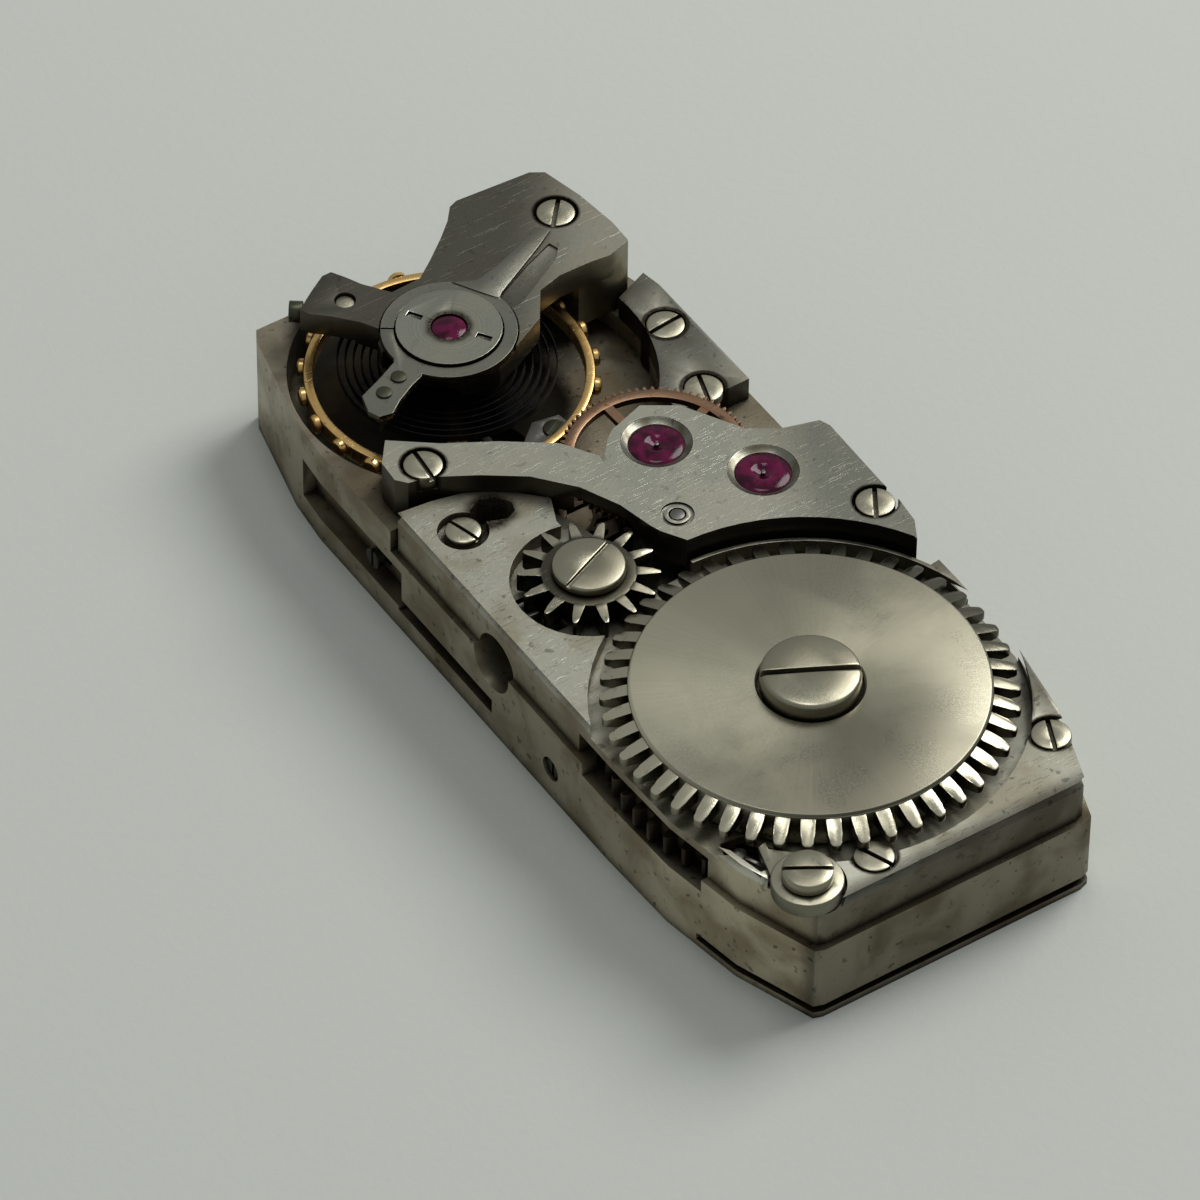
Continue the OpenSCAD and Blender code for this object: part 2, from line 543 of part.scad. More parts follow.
module roller() color("#8d9096") {
    tube(balance_c, 0.42, 0.14, 1.92, 2.02);
    tube(balance_c, 0.24, 0.14, 1.60, 1.93);
    rod(polar(balance_c, 0.33, bearing(balance_c, pallet_c)), 0.06, 1.74, 1.93);
}
module hairspring_collet() color("#c0a060") difference() {
    tube(balance_c, 0.38, 0.15, 2.60, 2.82);
    translate([balance_c[0], balance_c[1] - 0.03, 2]) cube([0.6, 0.06, 2]);
}

// Pallet fork with its arbor, and the two pallet stones
escape_z = [1.74, 1.87];
stone_list = [for (s = [-30, 30]) polar(escape_c, escape_r + 0.15, bearing(escape_c, pallet_c) + s)];
fork_a = bearing(pallet_c, balance_c);
fork_end = polar(pallet_c, 2.15, fork_a);
module pallet_fork() color("#9a9ca0") {
    difference() {
        union() {
            rod(pallet_c, 0.26, escape_z[0], escape_z[1]);
            for (p = stone_list) {
                bar(pallet_c, p, 0.16, escape_z[0], escape_z[1]);
                rod(p, 0.13, escape_z[0], escape_z[1]);
            }
            bar(pallet_c, fork_end, 0.16, escape_z[0], escape_z[1]);
            for (s = [-1, 1]) bar(polar(polar(fork_end, -0.05, fork_a), 0.13 * s, fork_a + 90),
                polar(polar(fork_end, 0.24, fork_a), 0.15 * s, fork_a + 90), 0.12, escape_z[0], escape_z[1]);
        }
        for (p = stone_list) stone_shape(p, 1, 3);
    }
    arbor(pallet_c, [[0.045, 0.97, 1.26], [0.10, 1.25, 1.92], [0.045, 1.90, 2.10]]);
}
module stone_shape(p, z0, z1) translate([p[0], p[1], z0]) rotate(bearing(escape_c, p) + 180)
    translate([-0.07, -0.045, 0]) cube([0.25, 0.09, z1 - z0]);
module pallet_stones() color("#a33a5c")
    for (p = stone_list) stone_shape(p, escape_z[0] - 0.01, escape_z[1] + 0.01);

// Escape wheel with leaning teeth
module escape_wheel() color("#b9a36b") difference() {
    translate([escape_c[0], escape_c[1], 0]) slab([for (i = [0:escape_teeth - 1]) each
        let (a = i * 360 / escape_teeth + 4)
        [polar([0, 0], 0.86, a), polar([0, 0], 0.95, a + 3.5), polar([0, 0], escape_r - 0.02, a + 8.5),
         polar([0, 0], escape_r, a + 13), polar([0, 0], 0.95, a + 11), polar([0, 0], 0.86, a + 10)]],
        escape_z[0], escape_z[1]);
    difference() {
        tube(escape_c, 0.76, 0.24, 1, 3);
        for (a = [0, 90]) bar(polar(escape_c, 1, a), polar(escape_c, 1, a + 180), 0.13, 0, 4);
    }
    rod(escape_c, 0.10, 1, 3);
}
module escape_pinion() color("#9a9ca0") {
    leaves(escape_c, escape_leaves, pitch(escape_c, fourth_c, escape_leaves, fourth_teeth),
        bearing(fourth_c, escape_c) + 180 + 180 / escape_leaves, 2.88, 3.10);
    arbor(escape_c, [[0.045, 0.97, 1.28], [0.10, 1.26, 2.90], [0.045, 3.08, 3.26]]);
}

// Fourth wheel
module fourth_wheel() color("#b98a66")
    crossed_wheel(fourth_c, fourth_teeth, pitch(fourth_c, escape_c, fourth_teeth, escape_leaves),
        bearing(fourth_c, escape_c), 2.93, 3.07, 0.22, 0.34, 5);
module fourth_pinion() color("#9a9ca0") {
    leaves(fourth_c, fourth_leaves, pitch(fourth_c, third_c, fourth_leaves, third_teeth),
        bearing(third_c, fourth_c) + 180 + 180 / fourth_leaves, 2.20, 2.45);
    arbor(fourth_c, [[0.045, 0.60, 1.25], [0.12, 1.22, 3.07], [0.045, 3.06, 3.38]]);
}
// Third wheel
module third_wheel() color("#b98a66")
    crossed_wheel(third_c, third_teeth, pitch(third_c, fourth_c, third_teeth, fourth_leaves),
        bearing(third_c, fourth_c), 2.27, 2.39, 0.20, 0.34, 4);
module third_pinion() color("#9a9ca0") {
    leaves(third_c, third_leaves, pitch(third_c, centre_c, third_leaves, centre_teeth),
        bearing(centre_c, third_c) + 180 + 180 / third_leaves, 0.90, 1.20);
    arbor(third_c, [[0.045, 0.60, 0.92], [0.12, 1.19, 3.00], [0.045, 2.98, 3.38]]);
}
// Centre wheel
module centre_wheel() color("#b98a66")
    crossed_wheel(centre_c, centre_teeth, pitch(centre_c, third_c, centre_teeth, third_leaves),
        bearing(centre_c, third_c), 0.98, 1.12, 0.22, 0.60, 5);
module centre_pinion() color("#9a9ca0") {
    leaves(centre_c, centre_leaves, pitch(centre_c, barrel_c, centre_leaves, barrel_teeth),
        bearing(barrel_c, centre_c) + 180 + 180 / centre_leaves, 1.66, 2.18);
    arbor(centre_c, [[0.14, 0.02, 0.62], [0.24, 0.60, 1.68], [0.15, 2.16, train_bridge_top]]);
}

// Motion works under the plate
cannon_leaves = 12;
minute_teeth = 36;
minute_leaves = 10;
hour_teeth = 40;
module cannon_pinion() color("#9a9ca0") difference() {
    union() {
        leaves(centre_c, cannon_leaves, pitch(centre_c, minute_c, cannon_leaves, minute_teeth),
            bearing(centre_c, minute_c), 0.36, 0.52);
        rod(centre_c, 0.26, 0.02, 0.53);
    }
    rod(centre_c, 0.14, -1, 2);
}
module minute_wheel() color("#b98a66") difference() {
    union() {
        toothed(minute_c, minute_teeth, pitch(minute_c, centre_c, minute_teeth, cannon_leaves) - 0.05,
            pitch(minute_c, centre_c, minute_teeth, cannon_leaves) + 0.04, 0.40,
            bearing(centre_c, minute_c) + 180 + 180 / minute_teeth, 0.38, 0.50);
        leaves(minute_c, minute_leaves, pitch(minute_c, centre_c, minute_leaves, hour_teeth),
            bearing(minute_c, centre_c), 0.17, 0.39);
    }
    rod(minute_c, 0.12, -1, 2);
}
module hour_wheel() color("#b98a66") difference() {
    union() {
        toothed(centre_c, hour_teeth, pitch(centre_c, minute_c, hour_teeth, minute_leaves) - 0.06,
            pitch(centre_c, minute_c, hour_teeth, minute_leaves) + 0.04, 0.40,
            bearing(minute_c, centre_c) + 180 + 180 / hour_teeth, 0.18, 0.30);
        rod(centre_c, 0.44, 0.02, 0.30);
    }
    rod(centre_c, 0.26 + play, -1, 2);
}

// Barrel with its cover, mainspring and arbor
barrel_pitch = pitch(barrel_c, centre_c, barrel_teeth, centre_leaves);
module barrel_drum() color("#b7a36d") difference() {
    union() {
        rod(barrel_c, 3.56, drum_low, 2.26);
        toothed(barrel_c, barrel_teeth, barrel_pitch - 0.18, barrel_pitch + 0.07, 0.40,
            bearing(barrel_c, centre_c), 1.70, 2.12);
    }
    rod(barrel_c, 3.36, drum_low + 0.14, 3);
    rod(barrel_c, 3.44, 2.12, 3);
    rod(barrel_c, 0.45 + play, -1, 3);
}
module barrel_cover() color("#bfae7c") tube(barrel_c, 3.44, 0.75 + play, 2.12, 2.26);
module mainspring() color("#6b7280")
    spiral(barrel_c, 1.42, 3.31, 9, 0.10, drum_low + 0.18, 2.06, 0);
module barrel_arbor() color("#9a9ca0") {
    difference() {
        union() {
            arbor(barrel_c, [[0.45, 0.02, drum_low + 0.19], [1.25, drum_low + 0.18, 2.08],
                [0.75, 2.06, 2.66]]);
            translate([barrel_c[0] - 0.42, barrel_c[1] - 0.42, 2.65]) cube([0.84, 0.84, 0.62]);
        }
        rod(barrel_c, 0.30, 2.80, 4);
    }
}

// Ratchet wheel and its screw
module ratchet_wheel() color("#cfc8b4") difference() {
    union() {
        toothed(barrel_c, ratchet_teeth, ratchet_disc_r, ratchet_tip_r, 0.50,
            bearing(barrel_c, crown_c), 2.72, 3.28);
        rod(barrel_c, ratchet_disc_r, 2.68, train_bridge_top);
    }
    translate([barrel_c[0] - 0.42, barrel_c[1] - 0.42, 2]) cube([0.84, 0.84, 4]);
    rod(barrel_c, 1.04, 3.27, 4);
}
module ratchet_screw() color("#cfc8b4") slotted_screw(barrel_c, 0.99, 3.28, 3.79, 0.29, 2.85, -28, 0.12, 0.20);

// Crown wheel on its core, held by a wide screw
module crown_wheel() color("#d6d2c6") difference() {
    toothed(crown_c, crown_teeth, 0.92, crown_tip_r, 0.44,
        bearing(barrel_c, crown_c) + 180 + 180 / crown_teeth, 2.72, 3.20);
    rod(crown_c, 0.58, 2, 4);
}
module crown_wheel_core() color("#a9a7a0") tube(crown_c, 0.58 - play, 0.25, wheel_seat_z, 3.21);
module crown_wheel_screw() color("#cfc8b4")
    slotted_screw(crown_c, 0.73, 3.21, 3.42, 0.25, 2.20, 23, 0.09, 0.09);

// Winding pinion and clutch wheel on the line of the stem
winding_teeth = 11;
module along_stem(x) translate([x, crown_c[1], stem_z]) rotate([0, 90, 0]) children();
module winding_pinion() color("#9a9ca0") along_stem(-3.42) difference() {
    union() {
        linear_extrude(0.30) polygon(teeth(winding_teeth, 0.66, 0.90, 0.40, 180));
        translate([0, 0, 0.29]) cylinder(h = 0.27, r = 0.52);
    }
    translate([0, 0, -1]) cylinder(h = 3, r = 0.30);
}
module clutch_wheel() color("#9a9ca0") along_stem(-2.74) difference() {
    union() {
        cylinder(h = 0.16, r = 0.52);
        cylinder(h = 0.50, r = 0.40);
        translate([0, 0, 0.34]) cylinder(h = 0.16, r = 0.54);
    }
    translate([-0.20, -0.20, -1]) cube([0.40, 0.40, 3]);
}

// Setting lever, its screw, yoke and setting wheel, in the pocket under the plate
module setting_lever() color("#8f9196") {
    difference() {
        union() {
            rod(detent_c, 0.42, 0.66, 0.90);
            bar(detent_c, [-3.60, 0.55], 0.42, 0.66, 0.90);
            rod([-3.60, 0.55], 0.21, 0.66, 0.90);
        }
        rod(detent_c, 0.19, 0, 2);
    }
}
module setting_lever_screw() color("#9b978e")
    slotted_screw(detent_c, 0.37, 2.76, 3.02, 0.16, 0.62, -74, 0.08, 0.10);
yoke_c = [-2.30, -1.20];
module yoke() color("#8f9196") difference() {
    union() {
        rod(yoke_c, 0.30, 0.66, 0.86);
        bar(yoke_c, [-2.50, 0.30], 0.26, 0.66, 0.86);
        rod([-2.49, crown_c[1]], 0.06, 0.85, 1.38);
    }
    rod(yoke_c, 0.12 + play, 0, 2);
}
module setting_wheel() color("#9a9ca0") difference() {
    toothed(setting_c, 12, 0.33, 0.43, 0.36, 196 + 180 + 15, 0.38, 0.50);
    rod(setting_c, 0.12 + play, 0, 2);
}

// Click: a disc round its screw with a beak that rests in a gap of the ratchet wheel
click_a = bearing(barrel_c, crown_c) + 360 / ratchet_teeth * 14.5;
module click() color("#a8a599") difference() {
    union() {
        rod(click_c, 0.70, 2.76, 3.10);
        slab([polar(barrel_c, ratchet_tip_r - 0.13, click_a), polar(barrel_c, ratchet_tip_r + 0.04, click_a + 1.5),
            [click_c[0] + 0.56, click_c[1] + 0.34], [click_c[0] - 0.56, click_c[1] + 0.34],
            polar(barrel_c, ratchet_tip_r + 0.04, click_a - 1.5)], 2.82, 3.06);
    }
    rod(click_c, 0.24 + play, 2, 4);
}
module click_screw() color("#cfc8b4") slotted_screw(click_c, 0.50, 3.12, 3.40, 0.24, 1.40, -32, 0.09, 0.12);
module click_spring() color("#6f7278") {
    rod(near([-3.42, -7.52]), 0.14, 2.30, 2.70);
    bar(near([-3.42, -7.52]), near([-3.10, -8.22]), 0.08, 2.50, 2.66);
}

// Posts pressed into the plate for the minute wheel, the setting wheel and the yoke
module dial_posts() color("#9a9ca0") {
    rod(minute_c, 0.12 - play, 0.12, dial_hollow);
    rod(setting_c, 0.12, 0.22, pocket_top);
    rod(yoke_c, 0.12, 0.22, pocket_top);
}

// Cover of the motion works, its screws and the screws of the dial feet
dial_cover_screw_list = [[-1.30, -1.55], [-1.95, 2.75]];
dial_cover_outline = [[-3.72, -1.56], [-1.00, -1.90], [-1.00, -1.20], [-1.83, 0.0], [-1.60, 2.20],
    [-1.53, 2.90], [-3.72, 2.84]];
dial_cover_top = 0.20;
module dial_cover() color("#9c988e") difference() {
    slab([for (p = dial_cover_outline) [p[0] + (p[0] < -3 ? play : -play), p[1] + (p[1] < 0 ? play : -play)]],
        0.04, dial_cover_top);
    rod(centre_c, 1.70, -1, 2);
    rod(minute_c, 1.02, -1, 2);
    for (s = dial_cover_screw_list) rod(s, 0.14, -1, 2);
}
module dial_cover_screws() color("#9b978e") for (s = dial_cover_screw_list)
    mirror([0, 0, 1]) slotted_screw([s[0], s[1]], 0.13, -0.20, -0.02, 0.12, -0.80, 20, 0.05, 0.05);
module dial_foot_screws() color("#a9a7a0") for (f = dial_foot_list)
    translate([f[0] * (plate_half_w - 0.06), f[1], f[2]]) rotate([0, -90 * f[0], 0]) difference() {
        union() {
            cylinder(h = 0.18, r = 0.22);
            cylinder(h = 0.30, r = 0.13);
        }
        translate([-0.5, -0.035, -0.01]) cube([1, 0.07, 0.10]);
    }

main_plate();
barrel_bridge();
train_bridge();
side_bridge();
balance_cock();
pallet_bridge();
bridge_screws();
pallet_bridge_screws();
train_jewels();
plate_jewels();
balance_hole_jewel();
cap_plate();
cap_jewel();
hairspring();
hairspring_stud();
stud_screw();
regulator();
curb_pins();
balance_wheel();
timing_screws();
balance_staff();
roller();
hairspring_collet();
pallet_fork();
pallet_stones();
escape_wheel();
escape_pinion();
fourth_wheel();
fourth_pinion();
third_wheel();
third_pinion();
centre_wheel();
centre_pinion();
cannon_pinion();
minute_wheel();
hour_wheel();
barrel_drum();
barrel_cover();
mainspring();
barrel_arbor();
ratchet_wheel();
ratchet_screw();
crown_wheel();
crown_wheel_core();
crown_wheel_screw();
winding_pinion();
clutch_wheel();
setting_lever();
setting_lever_screw();
setting_wheel();
yoke();
click();
click_screw();
click_spring();
dial_posts();
dial_cover();
dial_cover_screws();
dial_foot_screws();
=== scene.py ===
"""Narrow watch movement, bridge side up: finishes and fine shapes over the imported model."""
from functools import reduce
import json
import math

import bmesh
import bpy
from mathutils import Matrix, Vector


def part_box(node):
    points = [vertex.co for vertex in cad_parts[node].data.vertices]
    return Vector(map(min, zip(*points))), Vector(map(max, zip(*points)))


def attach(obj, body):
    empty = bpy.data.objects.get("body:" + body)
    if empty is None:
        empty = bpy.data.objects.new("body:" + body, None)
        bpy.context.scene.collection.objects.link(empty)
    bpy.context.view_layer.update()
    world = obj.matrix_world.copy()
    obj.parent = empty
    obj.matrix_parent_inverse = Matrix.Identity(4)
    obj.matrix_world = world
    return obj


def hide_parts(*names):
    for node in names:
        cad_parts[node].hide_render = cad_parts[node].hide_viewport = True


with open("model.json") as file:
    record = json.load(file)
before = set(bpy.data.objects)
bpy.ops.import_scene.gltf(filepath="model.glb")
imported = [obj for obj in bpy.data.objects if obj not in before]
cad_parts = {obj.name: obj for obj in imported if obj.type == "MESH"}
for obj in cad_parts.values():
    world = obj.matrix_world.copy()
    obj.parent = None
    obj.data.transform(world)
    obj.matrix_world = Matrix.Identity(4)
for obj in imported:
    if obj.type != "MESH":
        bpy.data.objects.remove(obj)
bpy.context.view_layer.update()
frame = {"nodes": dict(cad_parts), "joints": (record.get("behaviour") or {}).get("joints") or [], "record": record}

bl_info = {
    "name": "Watch Movement",
    "version": (1, 0, 0),
    "blender": (4, 5, 0),
    "location": "3D View > Sidebar > Movement",
    "description": "Dresses a narrow watch movement: plates, wheels, screws, jewels, balance and stage",
    "category": "Object",
}

MM = 0.001
NODE = frame["nodes"]
JOINT = {j["name"]: j for j in frame["joints"]}
BODY_OF = {n: b for b, ns in frame["record"]["behaviour"]["bodies"].items() for n in ns}


def pivot(joint):
    """Place of a joint's axis, in millimetres, seen from above."""
    p = JOINT[joint]["pos_m"]
    return p[0] / MM, p[1] / MM


def low(node):
    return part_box(node)[0].z / MM


def high(node):
    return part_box(node)[1].z / MM


def middle(node):
    a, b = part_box(node)
    return (a.x + b.x) / 2 / MM, (a.y + b.y) / 2 / MM


def metres(place):
    return place[0] * MM, place[1] * MM, 0


def heading(start, end):
    """Angle of the way from one place to another, seen from above."""
    return math.atan2(end[1] - start[1], end[0] - start[0])


BARREL = pivot("ratchet_turn")
CROWN = pivot("crown_turn")
BALANCE = pivot("balance_swing")
FOURTH = pivot("fourth_turn")
THIRD = pivot("third_turn")
ESCAPE = pivot("escape_turn")
CLICK = pivot("click_lift")

# Screw heads: place, height of the top and the way the slot points, in degrees
BRIDGE_HEADS = [(-3.19, 3.99, 3.43, 84), (3.70, -1.72, 3.43, 58), (-1.45, -9.16, 2.97, -68),
                (3.22, -8.39, 2.97, 66), (2.89, 8.49, 3.59, 49)]
WALL_HEADS = [(3.60, 5.53, 2.46, 6), (3.22, 3.58, 2.46, 72)]

# The camera looks at this place, in millimetres; lamp distance and half the floor's width are in metres
TARGET = (-0.461, 1.7435, 0)
LAMP_DISTANCE = 0.20
FLOOR_HALF = 0.9
RATCHET_TEETH = 46
CROWN_TEETH = 14
FOURTH_TEETH = 75
ESCAPE_LEAVES = 6
TIMING_PAIRS = 10
SPECK_TO_GRAIN = 0.33
# Rings of a turned finish and the ragged rim of a patch, per millimetre; how sharply a painted sheen fan ends
RINGS_PER_MM = 22
RAGGED_PER_MM = 4.0
SHEEN_FAN_EDGE = 1.6
# Rounding of the edges of small and of fine parts
SMALL_EDGE = 0.012 * MM
FINE_EDGE = 0.010 * MM
# Faces that meet under this angle are shaded smooth
SMOOTH_UNDER = math.radians(32)
# Corners sharper than this stay sharp after their edges are rounded
SHARP_OVER = math.radians(62)
# Points of a CAD mesh closer than this, in metres, are one point
SAME_POINT = 2e-7
FLAT_UNDER = math.radians(1.0)
ROUND_OVER = math.radians(28)


# Settings

class MovementFinish(bpy.types.PropertyGroup):
    plate: bpy.props.FloatVectorProperty(
        name="Plate", description="Main plate", subtype="COLOR", default=(0.27, 0.245, 0.185))
    bridge: bpy.props.FloatVectorProperty(
        name="Bridges", description="Light bridges", subtype="COLOR", default=(0.43, 0.43, 0.36))
    cock: bpy.props.FloatVectorProperty(
        name="Cock", description="Darker balance cock", subtype="COLOR", default=(0.115, 0.112, 0.092))
    wheel: bpy.props.FloatVectorProperty(
        name="Winding wheels", description="Ratchet wheel", subtype="COLOR",
        default=(0.63, 0.60, 0.455))
    gilt: bpy.props.FloatVectorProperty(
        name="Balance", description="Gilt balance rim", subtype="COLOR", default=(0.90, 0.60, 0.24))
    rose: bpy.props.FloatVectorProperty(
        name="Train wheels", description="Rose-gilt train wheels", subtype="COLOR",
        default=(0.28, 0.172, 0.108))
    ruby: bpy.props.FloatVectorProperty(
        name="Jewels", description="Stones", subtype="COLOR", default=(0.075, 0.003, 0.027))


class MovementSizes(bpy.types.PropertyGroup):
    edge: bpy.props.FloatProperty(
        name="Worn edge", description="Width of the rounding on plate edges", subtype="DISTANCE",
        default=0.030 * MM, min=0.005 * MM, max=0.05 * MM, precision=6)
    rim_segments: bpy.props.IntProperty(
        name="Round segments", description="Segments of a full turn of a large round piece", default=160,
        min=48, max=256)


class MovementStage(bpy.types.PropertyGroup):
    lens: bpy.props.FloatProperty(
        name="Lens", description="Focal length in millimetres on a 36 mm sensor", default=276.08)
    distance: bpy.props.FloatProperty(
        name="Distance", description="Camera distance to its target", subtype="DISTANCE", default=183.62 * MM)
    azimuth: bpy.props.FloatProperty(
        name="Azimuth", description="Camera's turn round the movement", subtype="ANGLE",
        default=math.radians(-33.914))
    elevation: bpy.props.FloatProperty(
        name="Elevation", description="Camera's height angle", subtype="ANGLE", default=math.radians(45.641))
    roll: bpy.props.FloatProperty(
        name="Roll", description="Camera's lean", subtype="ANGLE", default=math.radians(0.643))
    floor: bpy.props.FloatVectorProperty(
        name="Floor", description="Pale floor", subtype="COLOR", default=(0.555, 0.58, 0.545))


# Mesh helpers, in millimetres until a piece is finished

def bm_to_mesh(bm, name="part"):
    """Plain mesh in metres from a bmesh in millimetres."""
    bmesh.ops.remove_doubles(bm, verts=bm.verts, dist=0.0004)
    return scaled_mesh(bm, name)


def scaled_mesh(bm, name):
    bmesh.ops.recalc_face_normals(bm, faces=bm.faces)
    bmesh.ops.scale(bm, vec=Vector((MM, MM, MM)), verts=bm.verts)
    mesh = bpy.data.meshes.new(name)
    bm.to_mesh(mesh)
    bm.free()
    return mesh


def linked(name, mesh):
    obj = bpy.data.objects.new(name, mesh)
    bpy.context.scene.collection.objects.link(obj)
    return obj


def adopt(name, mesh, body, material, replaces=(), smooth=SMOOTH_UNDER):
    """Makes a mesh a named piece that rides on its body."""
    piece = linked(name, mesh)
    mesh.materials.clear()
    mesh.materials.append(material)
    if smooth is not None:
        mesh.shade_smooth()
        mesh.set_sharp_from_angle(angle=smooth)
    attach(piece, body)
    if replaces:
        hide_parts(*replaces)
    return piece


def stand_in(node, name, mesh, material, smooth=SMOOTH_UNDER):
    """Piece that takes the place of one CAD node."""
    return adopt(name, mesh, BODY_OF[node], material, (node,), smooth)


def lathe(bm, centre, profile, segments, cap=True):
    """Turns a profile of (radius, height) points round a vertical axis."""
    rings = []
    for r, z in profile:
        if r < 1e-6:
            rings.append([bm.verts.new((centre[0], centre[1], z))])
        else:
            rings.append([bm.verts.new((centre[0] + r * math.cos(a), centre[1] + r * math.sin(a), z))
                          for a in (2 * math.pi * i / segments for i in range(segments))])
    for lower, upper in zip(rings, rings[1:]):
        for i in range(segments):
            j = (i + 1) % segments
            if len(lower) == 1:
                bm.faces.new((lower[0], upper[j], upper[i]))
            elif len(upper) == 1:
                bm.faces.new((lower[i], lower[j], upper[0]))
            else:
                bm.faces.new((lower[i], lower[j], upper[j], upper[i]))
    if cap:
        for ring in (rings[0], rings[-1]):
            if len(ring) > 1:
                bm.faces.new(ring)
    return bm


def prism(bm, outline, z0, z1, drop=None):
    """Straight solid over an outline; drop gives how far the top falls at each point."""
    bottom = [bm.verts.new((x, y, z0)) for x, y in outline]
    top = [bm.verts.new((x, y, z1 - (drop(x, y) if drop else 0.0))) for x, y in outline]
    count = len(outline)
    bm.faces.new(list(reversed(bottom)))
    lid = bm.faces.new(top)
    for i in range(count):
        j = (i + 1) % count
        bm.faces.new((bottom[i], bottom[j], top[j], top[i]))
    return lid


def round_edges(holder, width, segments, angle):
    """Bevel, with a width in metres, on edges whose faces meet over an angle."""
    bevel = holder.modifiers.new("Edge", "BEVEL")
    bevel.width = width
    bevel.segments = segments
    bevel.limit_method = "ANGLE"
    bevel.angle_limit = angle


def bevelled_copy(node, width, segments, cut_flats):
    """Copy of a CAD node's mesh with merged points, clean flats and rounded edges."""
    mesh = NODE[node].data.copy()
    bm = bmesh.new()
    bm.from_mesh(mesh)
    bmesh.ops.remove_doubles(bm, verts=bm.verts, dist=SAME_POINT)
    bmesh.ops.dissolve_limit(bm, angle_limit=FLAT_UNDER, verts=bm.verts, edges=bm.edges, delimit={"NORMAL"})
    if cut_flats:
        bmesh.ops.triangulate(bm, faces=bm.faces)
    bm.to_mesh(mesh)
    bm.free()
    mesh.shade_smooth()
    holder = linked(node + "_copy", mesh)
    round_edges(holder, width, segments, ROUND_OVER)
    rounded = evaluated_mesh(holder)
    rounded.set_sharp_from_angle(angle=SHARP_OVER)
    holder.data = rounded
    even = holder.modifiers.new("Flat faces", "WEIGHTED_NORMAL")
    even.weight = 100
    even.keep_sharp = True
    result = evaluated_mesh(holder)
    bpy.data.objects.remove(holder)
    return result


def evaluated_mesh(holder):
    """Plain mesh of an object with its modifiers, which are then removed."""
    graph = bpy.context.evaluated_depsgraph_get()
    mesh = bpy.data.meshes.new_from_object(holder.evaluated_get(graph), depsgraph=graph)
    holder.modifiers.clear()
    return mesh


def dress(node, material, width, segments=2, cut_flats=False):
    """Replaces a CAD node by its copy with rounded edges; the width is in metres."""
    mesh = bevelled_copy(node, width, segments, cut_flats)
    return stand_in(node, node.replace("_", ".") + ".dressed", mesh, material, None)


def dress_all(material, width, *nodes):
    for node in nodes:
        dress(node, material, width)


# Geometry Nodes for what repeats

# Short names of the sockets that shader groups use
SOCKETS = {"f": "Float", "c": "Color", "v": "Vector"}


def built_once(name):
    """The function below makes the node group of that name when it is first asked for."""
    def wrap(make):
        return lambda: bpy.data.node_groups.get(name) or make(name)
    return wrap


def new_group(name, tree_type, inputs, outputs):
    """Node group with its sockets: the tree, its input node and its output node."""
    tree = bpy.data.node_groups.new(name, tree_type)
    for way, sockets in (("INPUT", inputs), ("OUTPUT", outputs)):
        for label, kind, *default in sockets:
            kind = "NodeSocket" + SOCKETS.get(kind, kind)
            socket = tree.interface.new_socket(label, in_out=way, socket_type=kind)
            if default:
                socket.default_value = default[0]
    return tree, tree.nodes.new("NodeGroupInput"), tree.nodes.new("NodeGroupOutput")


def geometry_tree(name, inputs):
    tree, start, end = new_group(name, "GeometryNodeTree", inputs, [("Geometry", "Geometry")])
    return tree, start.outputs, end


def real_and_painted(tree, given, end, shapes):
    """Ends a tree: its shapes are made real and take the finish it was given."""
    real = put(tree, "GeometryNodeRealizeInstances", {"Geometry": shapes})
    paint = put(tree, "GeometryNodeSetMaterial", {"Geometry": real.outputs[0], "Material": given["Finish"]})
    tree.links.new(paint.outputs[0], end.inputs["Geometry"])
    return tree


def copies_at(tree, given, points, turn):
    """Instances of the given piece on points."""
    piece = put(tree, "GeometryNodeObjectInfo", {"Object": given["Piece"]})
    place = put(tree, "GeometryNodeInstanceOnPoints", {
        "Points": points, "Instance": piece.outputs["Geometry"], "Rotation": turn})
    return place.outputs["Instances"]


@built_once("Ring of pieces")
def ring_tree(name):
    """Copies of one tooth set evenly round an axis."""
    tree, given, end = geometry_tree(name, [
        ("Piece", "Object"), ("Count", "Int", 12), ("Phase", "Float", 0.0), ("Centre", "Vector"),
        ("Finish", "Material")])
    points = put(tree, "GeometryNodeMeshLine", {
        "Offset": (0, 0, 0), "Count": given["Count"], "Start Location": given["Centre"]}, mode="OFFSET")
    index = put(tree, "GeometryNodeInputIndex").outputs[0]
    step = calc(tree, "DIVIDE", 2 * math.pi, given["Count"])
    turn = calc(tree, "MULTIPLY_ADD", index, step, given["Phase"])
    spin = put(tree, "ShaderNodeCombineXYZ", {"Z": turn}).outputs[0]
    return real_and_painted(tree, given, end, copies_at(tree, given, points.outputs["Mesh"], spin))


@built_once("Pieces on places")
def places_tree(name):
    """Copies of one piece on marked places, each turned by the place's own angle."""
    tree, given, end = geometry_tree(name, [
        ("Places", "Geometry"), ("Piece", "Object"), ("Finish", "Material")])
    turn = put(tree, "GeometryNodeInputNamedAttribute", {"Name": "turn"}, data_type="FLOAT_VECTOR")
    shapes = copies_at(tree, given, given["Places"], turn.outputs["Attribute"])
    return real_and_painted(tree, given, end, shapes)


